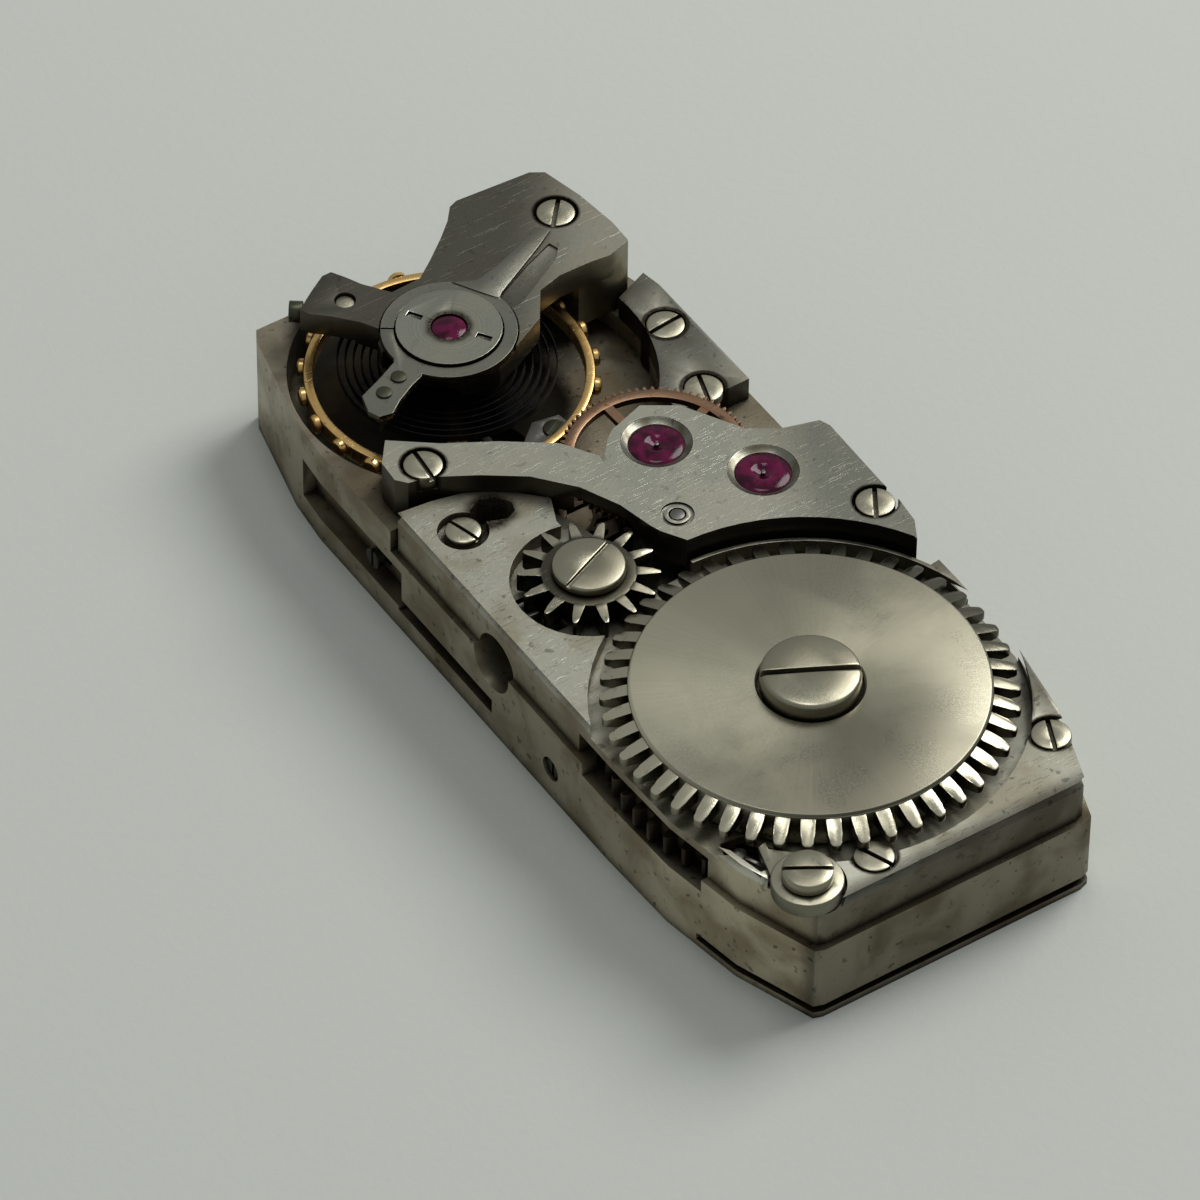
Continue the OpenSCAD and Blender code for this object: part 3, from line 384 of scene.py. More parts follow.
@built_once("Flat spiral")
def spiral_tree(name):
    """Flat spiral of rectangular wire."""
    tree, given, end = geometry_tree(name, [
        ("Turns", "Float", 10.0), ("Inner radius", "Float", 0.4 * MM), ("Outer radius", "Float", 2.2 * MM),
        ("Wire width", "Float", 0.03 * MM), ("Wire height", "Float", 0.15 * MM), ("Centre", "Vector"),
        ("Start angle", "Float", 0.0), ("Finish", "Material")])
    coil = put(tree, "GeometryNodeCurveSpiral", {
        "Resolution": 72, "Height": 0.0, "Rotations": given["Turns"], "Start Radius": given["Inner radius"],
        "End Radius": given["Outer radius"]})
    wire = put(tree, "GeometryNodeCurvePrimitiveQuadrilateral", {
        "Width": given["Wire width"], "Height": given["Wire height"]}, mode="RECTANGLE")
    sweep = put(tree, "GeometryNodeCurveToMesh", {
        "Fill Caps": True, "Curve": coil.outputs["Curve"], "Profile Curve": wire.outputs["Curve"]})
    spin = put(tree, "ShaderNodeCombineXYZ", {"Z": given["Start angle"]})
    move = put(tree, "GeometryNodeTransform", {
        "Geometry": sweep.outputs["Mesh"], "Translation": given["Centre"], "Rotation": spin.outputs[0]})
    return real_and_painted(tree, given, end, move.outputs["Geometry"])


def grow(tree, values, places=None):
    """Runs a node tree on a helper object and returns the plain mesh."""
    holder = linked("helper", places or bpy.data.meshes.new("helper"))
    modifier = holder.modifiers.new("Grow", "NODES")
    modifier.node_group = tree
    for item in tree.interface.items_tree:
        if item.in_out == "INPUT" and item.name in values:
            modifier[item.identifier] = values[item.name]
    result = evaluated_mesh(holder)
    bpy.data.objects.remove(holder)
    return result


def template(name, bm):
    """Helper object, in metres, for the node trees to copy."""
    return linked(name, scaled_mesh(bm, name))


def ring_of(piece, count, phase, centre, material):
    mesh = grow(ring_tree(), {"Piece": piece, "Count": count, "Phase": phase,
                              "Centre": metres(centre), "Finish": material})
    bpy.data.objects.remove(piece)
    return mesh


def on_places(piece, places, material):
    """Copies a piece to (x, y, z, turn) places, the turn in radians or a full rotation."""
    marks = bpy.data.meshes.new("places")
    marks.from_pydata([(p[0] * MM, p[1] * MM, p[2] * MM) for p in places], [], [])
    turn = marks.attributes.new("turn", "FLOAT_VECTOR", "POINT")
    for i, p in enumerate(places):
        turn.data[i].vector = p[3] if isinstance(p[3], tuple) else (0.0, 0.0, p[3])
    mesh = grow(places_tree(), {"Piece": piece, "Finish": material}, marks)
    bpy.data.objects.remove(piece)
    return mesh


def join_meshes(name, meshes):
    bm = bmesh.new()
    for mesh in meshes:
        bm.from_mesh(mesh)
    joined = bpy.data.meshes.new(name)
    bm.to_mesh(joined)
    bm.free()
    return joined


# Shader nodes

def feed(tree, node, values):
    """Fills a node's inputs with links or constants."""
    for key, value in (values or {}).items():
        if isinstance(value, bpy.types.NodeSocket):
            tree.links.new(value, node.inputs[key])
        else:
            node.inputs[key].default_value = value
    return node


def put(tree, kind, values=None, **settings):
    """Adds a node with its settings and inputs."""
    node = tree.nodes.new(kind)
    for key, value in settings.items():
        setattr(node, key, value)
    return feed(tree, node, values)


def calc(tree, operation, a, b=0.0, c=0.0):
    return put(tree, "ShaderNodeMath", {0: a, 1: b, 2: c}, operation=operation).outputs[0]


def vector(tree, operation, a, b=(0, 0, 0), output=0):
    return put(tree, "ShaderNodeVectorMath", {0: a, 1: b}, operation=operation).outputs[output]


def object_place(tree):
    return tree.nodes.new("ShaderNodeTexCoord").outputs["Object"]


def around(tree, centre):
    """The way from a centre to the shaded place, seen from above."""
    return vector(tree, "MULTIPLY", vector(tree, "SUBTRACT", object_place(tree), centre), (1, 1, 0))


def blend(tree, factor, a, b, mode="MIX"):
    return put(tree, "ShaderNodeMix", {0: factor, 6: a, 7: b}, data_type="RGBA", blend_type=mode).outputs[2]


def step_between(tree, value, low_end, high_end):
    node = put(tree, "ShaderNodeMapRange", {"Value": value, "From Min": low_end, "From Max": high_end},
               interpolation_type="SMOOTHSTEP")
    return node.outputs["Result"]


def group(name, inputs, outputs):
    return new_group(name, "ShaderNodeTree", inputs, outputs)


def noise(tree, place, scale, detail, **more):
    values = {"Vector": place, "Scale": scale, "Detail": detail}
    return put(tree, "ShaderNodeTexNoise", {**values, **more}).outputs[0]


def give(tree, end, **values):
    """Links a group's results to its outputs."""
    for key, value in values.items():
        tree.links.new(value, end.inputs[key])
    return tree


def use(tree, shared, values=None):
    return put(tree, "ShaderNodeGroup", values, node_tree=shared)


@built_once("Metal wear")
def wear_group(name):
    """Blotches, fine grain, scratches and specks, sized per millimetre of the object."""
    tree, start, end = group(name, [
        ("Blotches per mm", "f", 0.9), ("Grain per mm", "f", 16.0), ("Scratches per mm", "f", 1.6)],
        [("Blotch", "f"), ("Grain", "f"), ("Scratch", "f"), ("Speck", "f")])
    place = object_place(tree)
    blotch_scale, grain_scale, scratch_scale = (
        calc(tree, "MULTIPLY", start.outputs[i], 1 / MM) for i in range(3))
    blotch = noise(tree, place, blotch_scale, 3.0, Roughness=0.50, Distortion=0.4)
    grain = noise(tree, place, grain_scale, 3.0, Roughness=0.7)
    speck = noise(tree, place, calc(tree, "MULTIPLY", grain_scale, SPECK_TO_GRAIN), 2.0)
    lines = []
    for angle, squeeze in ((35, 26.0), (-52, 34.0), (84, 22.0)):
        turned = put(tree, "ShaderNodeMapping", {
            "Vector": place, "Rotation": (0, 0, math.radians(angle)), "Scale": (1.0, squeeze, 1.0)})
        lines.append(step_between(tree, noise(tree, turned.outputs[0], scratch_scale, 1.0), 0.70, 0.76))
    return give(tree, end, Blotch=step_between(tree, blotch, 0.36, 0.66), Grain=grain,
                Scratch=reduce(lambda a, b: calc(tree, "MAXIMUM", a, b), lines),
                Speck=step_between(tree, speck, 0.63, 0.72))


@built_once("Sunray brushing")
def sunray_group(name):
    """Fine brushing that runs out from a centre, with painted sheen on it: broad light and dark wedges, and a fan
    of light along a given way.
    """
    tree, start, end = group(name, [
        ("Centre", "v", (0, 0, 0)), ("Rays", "f", 90.0), ("Wedges", "f", 1.3), ("Light way", "v", (1, 0, 0))],
        [("Brush", "f"), ("Wedge", "f"), ("Rings", "f"), ("Fan", "f")])
    flat = around(tree, start.outputs[0])
    outward = vector(tree, "NORMALIZE", flat)
    fine = noise(tree, outward, start.outputs[1], 3.0, Roughness=0.7)
    broad = noise(tree, outward, start.outputs[2], 1.5)
    length = vector(tree, "LENGTH", flat, output="Value")
    rings = put(tree, "ShaderNodeTexNoise", {
        "W": calc(tree, "MULTIPLY", length, RINGS_PER_MM / MM), "Scale": 1.0, "Detail": 2.0},
        noise_dimensions="1D")
    along = calc(tree, "ABSOLUTE", vector(tree, "DOT_PRODUCT", outward, start.outputs[3], "Value"))
    return give(tree, end, Brush=fine, Wedge=step_between(tree, broad, 0.34, 0.66), Rings=rings.outputs[0],
                Fan=calc(tree, "POWER", along, SHEEN_FAN_EDGE))


@built_once("Fade between places")
def fade_group(name):
    """Even change from one place to another: nought at the first, one at the second."""
    tree, start, end = group(name, [("From", "v", (0, 0, 0)), ("To", "v", (1, 0, 0))], [("Fade", "f")])
    way = vector(tree, "SUBTRACT", start.outputs[1], start.outputs[0])
    offset = vector(tree, "SUBTRACT", object_place(tree), start.outputs[0])
    along = vector(tree, "DOT_PRODUCT", offset, way, "Value")
    whole = vector(tree, "DOT_PRODUCT", way, way, "Value")
    return give(tree, end, Fade=step_between(tree, calc(tree, "DIVIDE", along, whole), 0.0, 1.0))


@built_once("Round patch")
def spot_group(name):
    """Round patch about a place, seen from above: one inside its radius, nought outside."""
    tree, start, end = group(name, [
        ("Centre", "v", (0, 0, 0)), ("Radius", "f", 0.001), ("Softness", "f", 0.0001)], [("Patch", "f")])
    length = vector(tree, "LENGTH", around(tree, start.outputs[0]), output="Value")
    ragged = noise(tree, object_place(tree), RAGGED_PER_MM / MM, 2.0)
    length = calc(tree, "MULTIPLY_ADD", calc(tree, "SUBTRACT", ragged, 0.5), start.outputs[2], length)
    past = put(tree, "ShaderNodeMapRange", {
        "Value": length, "From Min": calc(tree, "SUBTRACT", start.outputs[1], start.outputs[2]),
        "From Max": calc(tree, "ADD", start.outputs[1], start.outputs[2]), "To Min": 1.0, "To Max": 0.0},
        interpolation_type="SMOOTHSTEP").outputs["Result"]
    return give(tree, end, Patch=past)


def spots(tree, patches):
    """Largest of several patches, each (x, y, radius, softness) in millimetres."""
    masks = [use(tree, spot_group(), {
        "Centre": metres((x, y)), "Radius": radius * MM, "Softness": soft * MM}).outputs["Patch"]
        for x, y, radius, soft in patches]
    return reduce(lambda a, b: calc(tree, "MAXIMUM", a, b), masks)


@built_once("Worn finish")
def finish_group(name):
    """Puts colour, dirt, wear and brushing together, with painted light and shade: occlusion shade in seams, the
    given Shade, sheen wedges and a separate side colour.
    """
    tree, start, end = group(name, [
        ("Top", "c", (0.5, 0.5, 0.5, 1)), ("Side", "c", (0.3, 0.28, 0.24, 1)),
        ("Dirt", "c", (0.02, 0.015, 0.01, 1)),
        ("Blotch", "f", 0.0), ("Grain", "f", 0.5), ("Scratch", "f", 0.0), ("Speck", "f", 0.0),
        ("Crevice", "f", 0.0), ("Brush", "f", 0.5), ("Wedge", "f", 0.5),
        ("Blotch amount", "f", 0.3), ("Dirt amount", "f", 0.8), ("Scratch amount", "f", 0.3),
        ("Speck amount", "f", 0.4), ("Brush amount", "f", 0.0), ("Wedge amount", "f", 0.0),
        ("Grain height", "f", 0.5), ("Roughness", "f", 0.35), ("Shade", "f", 1.0), ("Grime", "f", 0.0)],
        [("Colour", "c"), ("Roughness", "f"), ("Height", "f")])
    s = start.outputs
    # Upward faces take the top colour and side faces the side colour. On most parts the darker sides are partly
    # their own finish and partly painted shade; the lighter plate and barrel bridge walls are painted light.
    normal = put(tree, "ShaderNodeSeparateXYZ", {0: tree.nodes.new("ShaderNodeTexCoord").outputs["Normal"]})
    upward = step_between(tree, calc(tree, "ABSOLUTE", normal.outputs["Z"]), 0.25, 0.85)
    colour = blend(tree, upward, s["Side"], s["Top"])
    dark = blend(tree, 1.0, colour, (0.52, 0.47, 0.40, 1), "MULTIPLY")
    colour = blend(tree, calc(tree, "MULTIPLY", s["Blotch"], s["Blotch amount"]), colour, dark)
    # Sheen wedges lighten and darken the colour: painted sheen of the brushing.
    sheen_wedge = calc(tree, "MULTIPLY_ADD", calc(tree, "SUBTRACT", s["Wedge"], 0.5), s["Wedge amount"], 1.0)
    colour = blend(tree, 1.0, colour, sheen_wedge, "MULTIPLY")
    streak = calc(tree, "MULTIPLY_ADD", calc(tree, "SUBTRACT", s["Brush"], 0.5), s["Brush amount"], 1.0)
    colour = blend(tree, 1.0, colour, streak, "MULTIPLY")
    scratch = calc(tree, "MULTIPLY", s["Scratch"], calc(tree, "MULTIPLY", s["Scratch amount"], 0.6))
    colour = blend(tree, scratch, colour, (0.10, 0.09, 0.075, 1))
    colour = blend(tree, calc(tree, "MULTIPLY", s["Speck"], s["Speck amount"]), colour, s["Dirt"])
    colour = blend(tree, 1.0, colour, s["Shade"], "MULTIPLY")
    # Seams from occlusion and the dark patches round parts take the dirt colour: painted shade and dirt together.
    seam_dirt_and_shade = calc(tree, "MAXIMUM", step_between(tree, s["Crevice"], 0.16, 0.72), s["Grime"])
    ragged = calc(tree, "MULTIPLY", seam_dirt_and_shade, calc(tree, "MULTIPLY_ADD", s["Grain"], 0.8, 0.6))
    colour = blend(tree, calc(tree, "MINIMUM", calc(tree, "MULTIPLY", ragged, s["Dirt amount"]), 1.0), colour,
                   s["Dirt"])
    rough = calc(tree, "MULTIPLY_ADD", s["Blotch"], 0.10, s["Roughness"])
    rough = calc(tree, "MULTIPLY_ADD", calc(tree, "SUBTRACT", s["Grain"], 0.5), 0.12, rough)
    rough = calc(tree, "MULTIPLY_ADD", seam_dirt_and_shade, 0.25, rough)
    height = calc(tree, "MULTIPLY", s["Grain"], s["Grain height"])
    height = calc(tree, "MULTIPLY_ADD", s["Brush"], s["Brush amount"], height)
    height = calc(tree, "SUBTRACT", height, calc(tree, "MULTIPLY", s["Scratch"], s["Scratch amount"]))
    return give(tree, end, Colour=colour, Roughness=rough, Height=height)


def tone(colour, scale=1.0):
    return tuple(min(1.0, c * scale) for c in colour) + (1.0,)


def new_material(name):
    material = bpy.data.materials.new(name)
    material.use_nodes = True
    tree = material.node_tree
    return material, tree, tree.nodes["Principled BSDF"]


def raise_by(tree, shader, height, distance, strength=1.0):
    """Relief of a height in metres on a shader's surface."""
    relief = put(tree, "ShaderNodeBump", {"Height": height, "Distance": distance, "Strength": strength})
    tree.links.new(relief.outputs[0], shader.inputs["Normal"])


def metal(name, top, side=None, dirt_and_shade=(0.018, 0.014, 0.008, 1), rough=0.34, blotch=0.35, seam_dirt_and_shade_amount=0.9,
          scratch=0.3, speck=0.35, grain=0.5, bump=0.0000035, blotches=0.9, scratches=1.6, centre=None,
          rays=90.0, brush=0.0, sheen_wedge=0.0, rings=False, reach=0.30, anisotropy=0.0, sheen_fan=None, painted_light_fades=(),
          dark_spots=(), dark_level=0.2, dirt_and_shade_patches=()):
    """Worn metal: shared wear and brushing, with dirt and painted occlusion shade where surfaces stand close
    together.
    """
    name = "worn " + name
    if name in bpy.data.materials:
        return bpy.data.materials[name]
    material, tree, shader = new_material(name)
    shader.inputs["Metallic"].default_value = 1.0
    material.diffuse_color = top
    wear = use(tree, wear_group(), {"Blotches per mm": blotches, "Scratches per mm": scratches})
    # Ambient occlusion within the reach picks the close places, which the dirt colour darkens: painted occlusion
    # shade together with dirt.
    occlusion = put(tree, "ShaderNodeAmbientOcclusion", {"Distance": reach * MM}, samples=5)
    values = {"Top": top, "Side": side or top, "Dirt": dirt_and_shade, "Blotch": wear.outputs["Blotch"],
              "Grain": wear.outputs["Grain"], "Scratch": wear.outputs["Scratch"],
              "Speck": wear.outputs["Speck"], "Crevice": calc(tree, "SUBTRACT", 1.0, occlusion.outputs["AO"]),
              "Blotch amount": blotch, "Dirt amount": seam_dirt_and_shade_amount, "Scratch amount": scratch,
              "Speck amount": speck, "Brush amount": brush, "Wedge amount": sheen_wedge, "Grain height": grain,
              "Roughness": rough}
    if centre is not None:
        ray = use(tree, sunray_group(), {"Centre": metres(centre), "Rays": rays})
        values["Brush"] = ray.outputs["Rings" if rings else "Brush"]
        values["Wedge"] = ray.outputs["Wedge"]
    shades = []
    # Painted highlight: the colour is lighter where the brushing runs along the light way, a fan of sheen.
    if sheen_fan:
        ray.inputs["Light way"].default_value = (math.cos(sheen_fan[0]), math.sin(sheen_fan[0]), 0)
        shades.append(calc(tree, "MULTIPLY_ADD", ray.outputs["Fan"], sheen_fan[1], 1.0 - sheen_fan[1]))
    # Each fade lightens or darkens the colour from one place to another: painted light and shade.
    for start, finish, level in painted_light_fades:
        fade = use(tree, fade_group(), {"From": metres(start), "To": metres(finish)}).outputs["Fade"]
        shades.append(calc(tree, "MULTIPLY_ADD", fade, level - 1.0, 1.0))
    if dark_spots:
        shades.append(calc(tree, "MULTIPLY_ADD", spots(tree, dark_spots), dark_level - 1.0, 1.0))
    if shades:
        values["Shade"] = reduce(lambda a, b: calc(tree, "MULTIPLY", a, b), shades)
    # Dark patches round screw heads and other seats: dirt and painted shade, added to the seam darkening.
    if dirt_and_shade_patches:
        values["Grime"] = spots(tree, dirt_and_shade_patches)
    done = use(tree, finish_group(), values)
    tree.links.new(done.outputs["Colour"], shader.inputs["Base Color"])
    tree.links.new(done.outputs["Roughness"], shader.inputs["Roughness"])
    raise_by(tree, shader, done.outputs["Height"], bump)
    if anisotropy:
        shader.inputs["Anisotropic"].default_value = anisotropy
        tangent = put(tree, "ShaderNodeTangent", None, direction_type="RADIAL", axis="Z")
        tree.links.new(tangent.outputs[0], shader.inputs["Tangent"])
    return material


def jewel_material():
    """Deep magenta stone with cloudy colour and a hard polish."""
    if "polished ruby" in bpy.data.materials:
        return bpy.data.materials["polished ruby"]
    material, tree, shader = new_material("polished ruby")
    colour = bpy.context.scene.movement_finish.ruby
    wear = use(tree, wear_group(), {"Blotches per mm": 3.0, "Grain per mm": 24.0, "Scratches per mm": 2.5})
    shade = blend(tree, wear.outputs["Blotch"], tone(colour, 0.4), tone(colour, 1.5))
    shade = blend(tree, calc(tree, "MULTIPLY", wear.outputs["Speck"], 0.5), shade, (0.02, 0.01, 0.012, 1))
    tree.links.new(shade, shader.inputs["Base Color"])
    tree.links.new(calc(tree, "MULTIPLY_ADD", wear.outputs["Grain"], 0.10, 0.04), shader.inputs["Roughness"])
    shader.inputs["IOR"].default_value = 1.45
    shader.inputs["Specular IOR Level"].default_value = 0.30
    raise_by(tree, shader, wear.outputs["Grain"], 0.0000012)
    material.diffuse_color = tone(colour)
    return material


def finishes():
    """All finishes of the movement, by name."""
    kit = bpy.context.scene.movement_finish
    # Walls of the plate and barrel bridge, lighter than the plate's top: painted light on the walls.
    wall = (0.40, 0.36, 0.27, 1)
    # Darker towards the near edge: painted shade on the near walls.
    near_wall_shade = ((0, -9.35), (0, -9.75), 0.35)
    # Dark rings round the screw heads on the bridges: dirt and painted shade.
    rims = [(x, y, 0.50, 0.035) for x, y, z, turn in BRIDGE_HEADS + WALL_HEADS]
    looks = {
        # Main plate: the dark spots are painted shadow in the balance hollow and the deep recesses; the fades
        # lighten the near-left wall as painted light and darken the near wall as painted shade.
        "plate": dict(
            top=tone(kit.plate), side=wall, rough=0.42, blotch=0.9, speck=0.6, scratch=0.5, seam_dirt_and_shade_amount=1.1,
            bump=0.000005, blotches=0.75, reach=0.5, dark_level=0.10,
            painted_light_fades=[((-4.2, -2.0), (-3.0, -7.0), 1.6), near_wall_shade],
            dark_spots=[(-0.60, 6.45, 2.15, 0.20), (-2.0, 7.3, 1.7, 0.3), (-1.55, 8.8, 1.5, 0.25)],
            dirt_and_shade_patches=rims),
        # Barrel bridge: the fades darken it towards the near right and lighten it towards the near edge, as
        # painted light and shade; the near wall is painted shade.
        "barrel bridge": dict(
            top=tone(kit.bridge, 1.10), side=wall, rough=0.37, blotch=0.8, speck=0.45, scratch=0.6,
            bump=0.000005, blotches=0.8, reach=0.4,
            painted_light_fades=[((-2.0, -4.0), (2.5, -8.5), 0.56), ((0.5, -6.6), (0.2, -8.8), 1.7), near_wall_shade],
            dirt_and_shade_patches=rims + [(-2.55, 2.55, 0.55, 0.15)]),
        # Train bridge: its dark sides are painted shade on the edges, and the fade darkens its right end as
        # painted shade.
        "bridge": dict(
            top=tone(kit.bridge), side=tone(kit.plate, 0.30), rough=0.33, speck=0.25,
            scratch=0.35, blotches=0.7, reach=0.4, painted_light_fades=[((1.6, 0.0), (3.6, -0.6), 0.57)], dirt_and_shade_patches=rims),
        "side bridge": dict(
            top=tone(kit.bridge, 0.52), side=tone(kit.plate, 0.25), rough=0.38, blotch=0.6, speck=0.4,
            scratch=0.5, reach=0.4, dirt_and_shade_patches=rims),
        # Balance cock: the fade lightens it towards its right end, painted light.
        "cock": dict(
            top=tone(kit.cock), side=tone(kit.plate, 0.32), rough=0.36, blotch=0.5, speck=0.3, scratch=0.6,
            blotches=1.1, scratches=1.0, reach=0.4, painted_light_fades=[((1.3, 8.2), (2.9, 6.9), 3.4)], dirt_and_shade_patches=rims),
        "regulator": dict(
            top=tone(kit.bridge, 0.58), side=tone(kit.plate, 0.25), rough=0.28, blotch=0.3, speck=0.3,
            scratch=0.1, centre=BALANCE, rays=60, brush=0.2, reach=0.22),
        "cap": dict(
            top=tone(kit.bridge, 0.90), side=tone(kit.plate, 0.08), rough=0.26, blotch=0.4, speck=0.10,
            scratch=0.0, centre=BALANCE, rings=True, brush=0.25, reach=0.16,
            dirt_and_shade_patches=[(BALANCE[0], BALANCE[1], 0.50, 0.10)]),
        # Ratchet: the sheen fan and sheen wedges are painted highlights of the sunray finish, and the fades darken
        # it as painted shade.
        "ratchet": dict(
            top=tone(kit.wheel, 1.10), side=tone(kit.wheel, 0.8), rough=0.27, blotch=0.12, speck=0.0,
            scratch=0.0, centre=BARREL, rays=120, brush=0.30, sheen_wedge=0.12, grain=0.15, anisotropy=0.5,
            bump=0.000003, reach=0.20, blotches=0.5, sheen_fan=(math.radians(-20), 0.38),
            painted_light_fades=[((-1.7, -3.54), (1.05, -6.3), 0.48), (BARREL, (BARREL[0] - 1.4, BARREL[1] - 2.1), 0.62)]),
        # Ratchet teeth: the fades darken the right-hand and far teeth as painted shade against the key lamp's
        # light; the darker flanks are partly painted shade.
        "teeth": dict(
            top=tone(kit.wheel, 0.95), side=tone(kit.wheel, 0.40), rough=0.22, blotch=0.2, speck=0.2,
            scratch=0.1, reach=0.25, seam_dirt_and_shade_amount=1.3,
            painted_light_fades=[((-2.6, -7.6), (3.4, -6.6), 0.42), ((-1.0, -5.5), (1.4, -1.8), 0.55)]),
        # Crown wheel: its near-black tooth flanks are painted shade in the gaps; the dark patch darkens the ring
        # round the screw.
        "crown": dict(
            top=tone(kit.wheel, 0.75), side=tone(kit.wheel, 0.10), rough=0.26,
            dark_spots=[(CROWN[0], CROWN[1], 0.98, 0.06)], dark_level=0.22, blotch=0.4, speck=0.4,
            centre=CROWN, rays=70, brush=0.3, seam_dirt_and_shade_amount=1.4),
        "screw": dict(
            top=tone(kit.wheel, 0.70), side=tone(kit.wheel, 0.30), rough=0.30, blotch=0.25, speck=0.15,
            scratch=0.2, reach=0.16, scratches=2.4, blotches=1.6),
        "big screw": dict(
            top=tone(kit.wheel, 0.58), side=tone(kit.wheel, 0.50), rough=0.26, blotch=0.30, speck=0.0,
            scratch=0.0, reach=0.16),
        "dark screw": dict(
            top=(0.085, 0.090, 0.062, 1), side=(0.05, 0.05, 0.035, 1), blotch=0.4, speck=0.2,
            scratch=0.0, reach=0.16),
        "steel": dict(
            top=(0.20, 0.20, 0.19, 1), side=(0.12, 0.11, 0.10, 1), rough=0.30, blotch=0.5, speck=0.3,
            reach=0.25),
        # Near-black steel: the springs' own dark steel, made near black as painted shade where the hairspring lies
        # under the cock.
        "spring steel": dict(
            top=(0.010, 0.010, 0.012, 1), rough=0.45, blotch=0.2, speck=0.1, reach=0.10, seam_dirt_and_shade_amount=0.8),
        "gilt": dict(
            top=tone(kit.gilt), side=tone(kit.gilt, 0.70), dirt_and_shade=(0.03, 0.014, 0.004, 1), rough=0.24,
            blotch=0.5, speck=0.4, reach=0.22, blotches=1.6),
        "rose gilt": dict(
            top=tone(kit.rose), side=tone(kit.rose, 0.5), dirt_and_shade=(0.02, 0.010, 0.006, 1), rough=0.34,
            blotch=0.5, speck=0.5, centre=FOURTH, rings=True, brush=0.3, reach=0.22, blotches=1.2),
        "brass": dict(
            top=(0.09, 0.072, 0.050, 1), side=(0.045, 0.036, 0.026, 1), rough=0.38, blotch=0.6, speck=0.4,
            reach=0.3),
        "sink": dict(
            top=tone(kit.bridge, 0.55), rough=0.26, blotch=1.0, speck=0.5, scratch=0.1, reach=0.20,
            seam_dirt_and_shade_amount=1.2, grain=0.3, blotches=2.5),
    }
    made = {name: metal(name, **look) for name, look in looks.items()}
    return {**made, "ruby": jewel_material()}


# Screws, teeth and jewels

def slotted_head(radius, seat, top, shank, tip, slot_w, slot_d, edge, segments=48):
    """Screw template at the origin: head with worn rim from seat to top, shank down to tip, and a slot."""
    bm = bmesh.new()
    dome = edge * 0.12
    lathe(bm, (0, 0), [(0, tip), (shank, tip), (shank, seat), (radius - edge * 0.6, seat),
                       (radius, seat + edge * 0.6), (radius, top - edge - dome),
                       (radius - edge * 0.30, top - edge * 0.30 - dome), (radius - edge, top - dome),
                       (radius * 0.5, top - dome * 0.3), (0, top)], segments)
    body = template("head", bm)
    bm = bmesh.new()
    prism(bm, [(-radius * 2, -slot_w / 2), (radius * 2, -slot_w / 2), (radius * 2, slot_w / 2),
               (-radius * 2, slot_w / 2)], top - slot_d, top + 1)
    cutter = template("slot", bm)
    cut = body.modifiers.new("Slot", "BOOLEAN")
    cut.operation = "DIFFERENCE"
    cut.solver = "EXACT"
    cut.object = cutter
    round_edges(body, min(edge * 0.35, 0.018) * MM, 2, math.radians(40))
    mesh = evaluated_mesh(body)
    bpy.data.objects.remove(body)
    bpy.data.objects.remove(cutter)
    return linked("head", mesh)


def tooth(profile, z0, z1, drop, edge):
    """Tooth template pointing along +X; profile is half its outline, from root to tip."""
    bm = bmesh.new()
    outline = [(r, -w) for r, w in profile] + [(r, w) for r, w in reversed(profile)]
    root, tip = profile[0][0], profile[-1][0]
    prism(bm, outline, z0, z1, lambda x, y: drop * max(0.0, (x - root) / (tip - root)))
    rims = [e for e in bm.edges if abs(e.verts[0].co.z - e.verts[1].co.z) < drop + 0.01
            and min(v.co.x for v in e.verts) > root - 1e-6 and max(v.co.x for v in e.verts) > root + 1e-6]
    bmesh.ops.bevel(bm, geom=rims, offset=edge, segments=2, affect="EDGES", profile=0.6)
    return template("tooth", bm)


def arm(bm, centre, angle, r0, r1, width, z0, z1):
    c, s = math.cos(angle), math.sin(angle)
    corners = [(r0, -width / 2), (r1, -width / 2), (r1, width / 2), (r0, width / 2)]
    prism(bm, [(centre[0] + x * c - y * s, centre[1] + x * s + y * c) for x, y in corners], z0, z1)


def ring_solid(bm, centre, inner, outer, z0, z1, edge, segments):
    """Flat ring whose upper corners are rounded."""
    lathe(bm, centre, [(inner, z0), (outer, z0), (outer, z1 - edge), (outer - edge * 0.3, z1 - edge * 0.3),
                       (outer - edge, z1), (inner + edge, z1), (inner + edge * 0.3, z1 - edge * 0.3),
                       (inner, z1 - edge), (inner, z0)], segments, cap=False)


class MOVEMENT_OT_plates(bpy.types.Operator):
    """Main plate, bridges and cock with worn edges"""
    bl_idname = "movement.plates"
    bl_label = "Plates and bridges"

    def execute(self, context):
        look = finishes()
        edge = context.scene.movement_sizes.edge
        dress("main_plate", look["plate"], edge)
        dress("barrel_bridge", look["barrel bridge"], edge)
        dress("train_bridge", look["bridge"], edge * 1.3, 3)
        dress("side_bridge", look["side bridge"], edge, cut_flats=True)
        dress("balance_cock", look["cock"], edge * 1.2, 3)
        dress("pallet_bridge", look["steel"], edge * 0.5, cut_flats=True)
        dress("dial_cover", look["steel"], edge * 0.5)
        return {"FINISHED"}


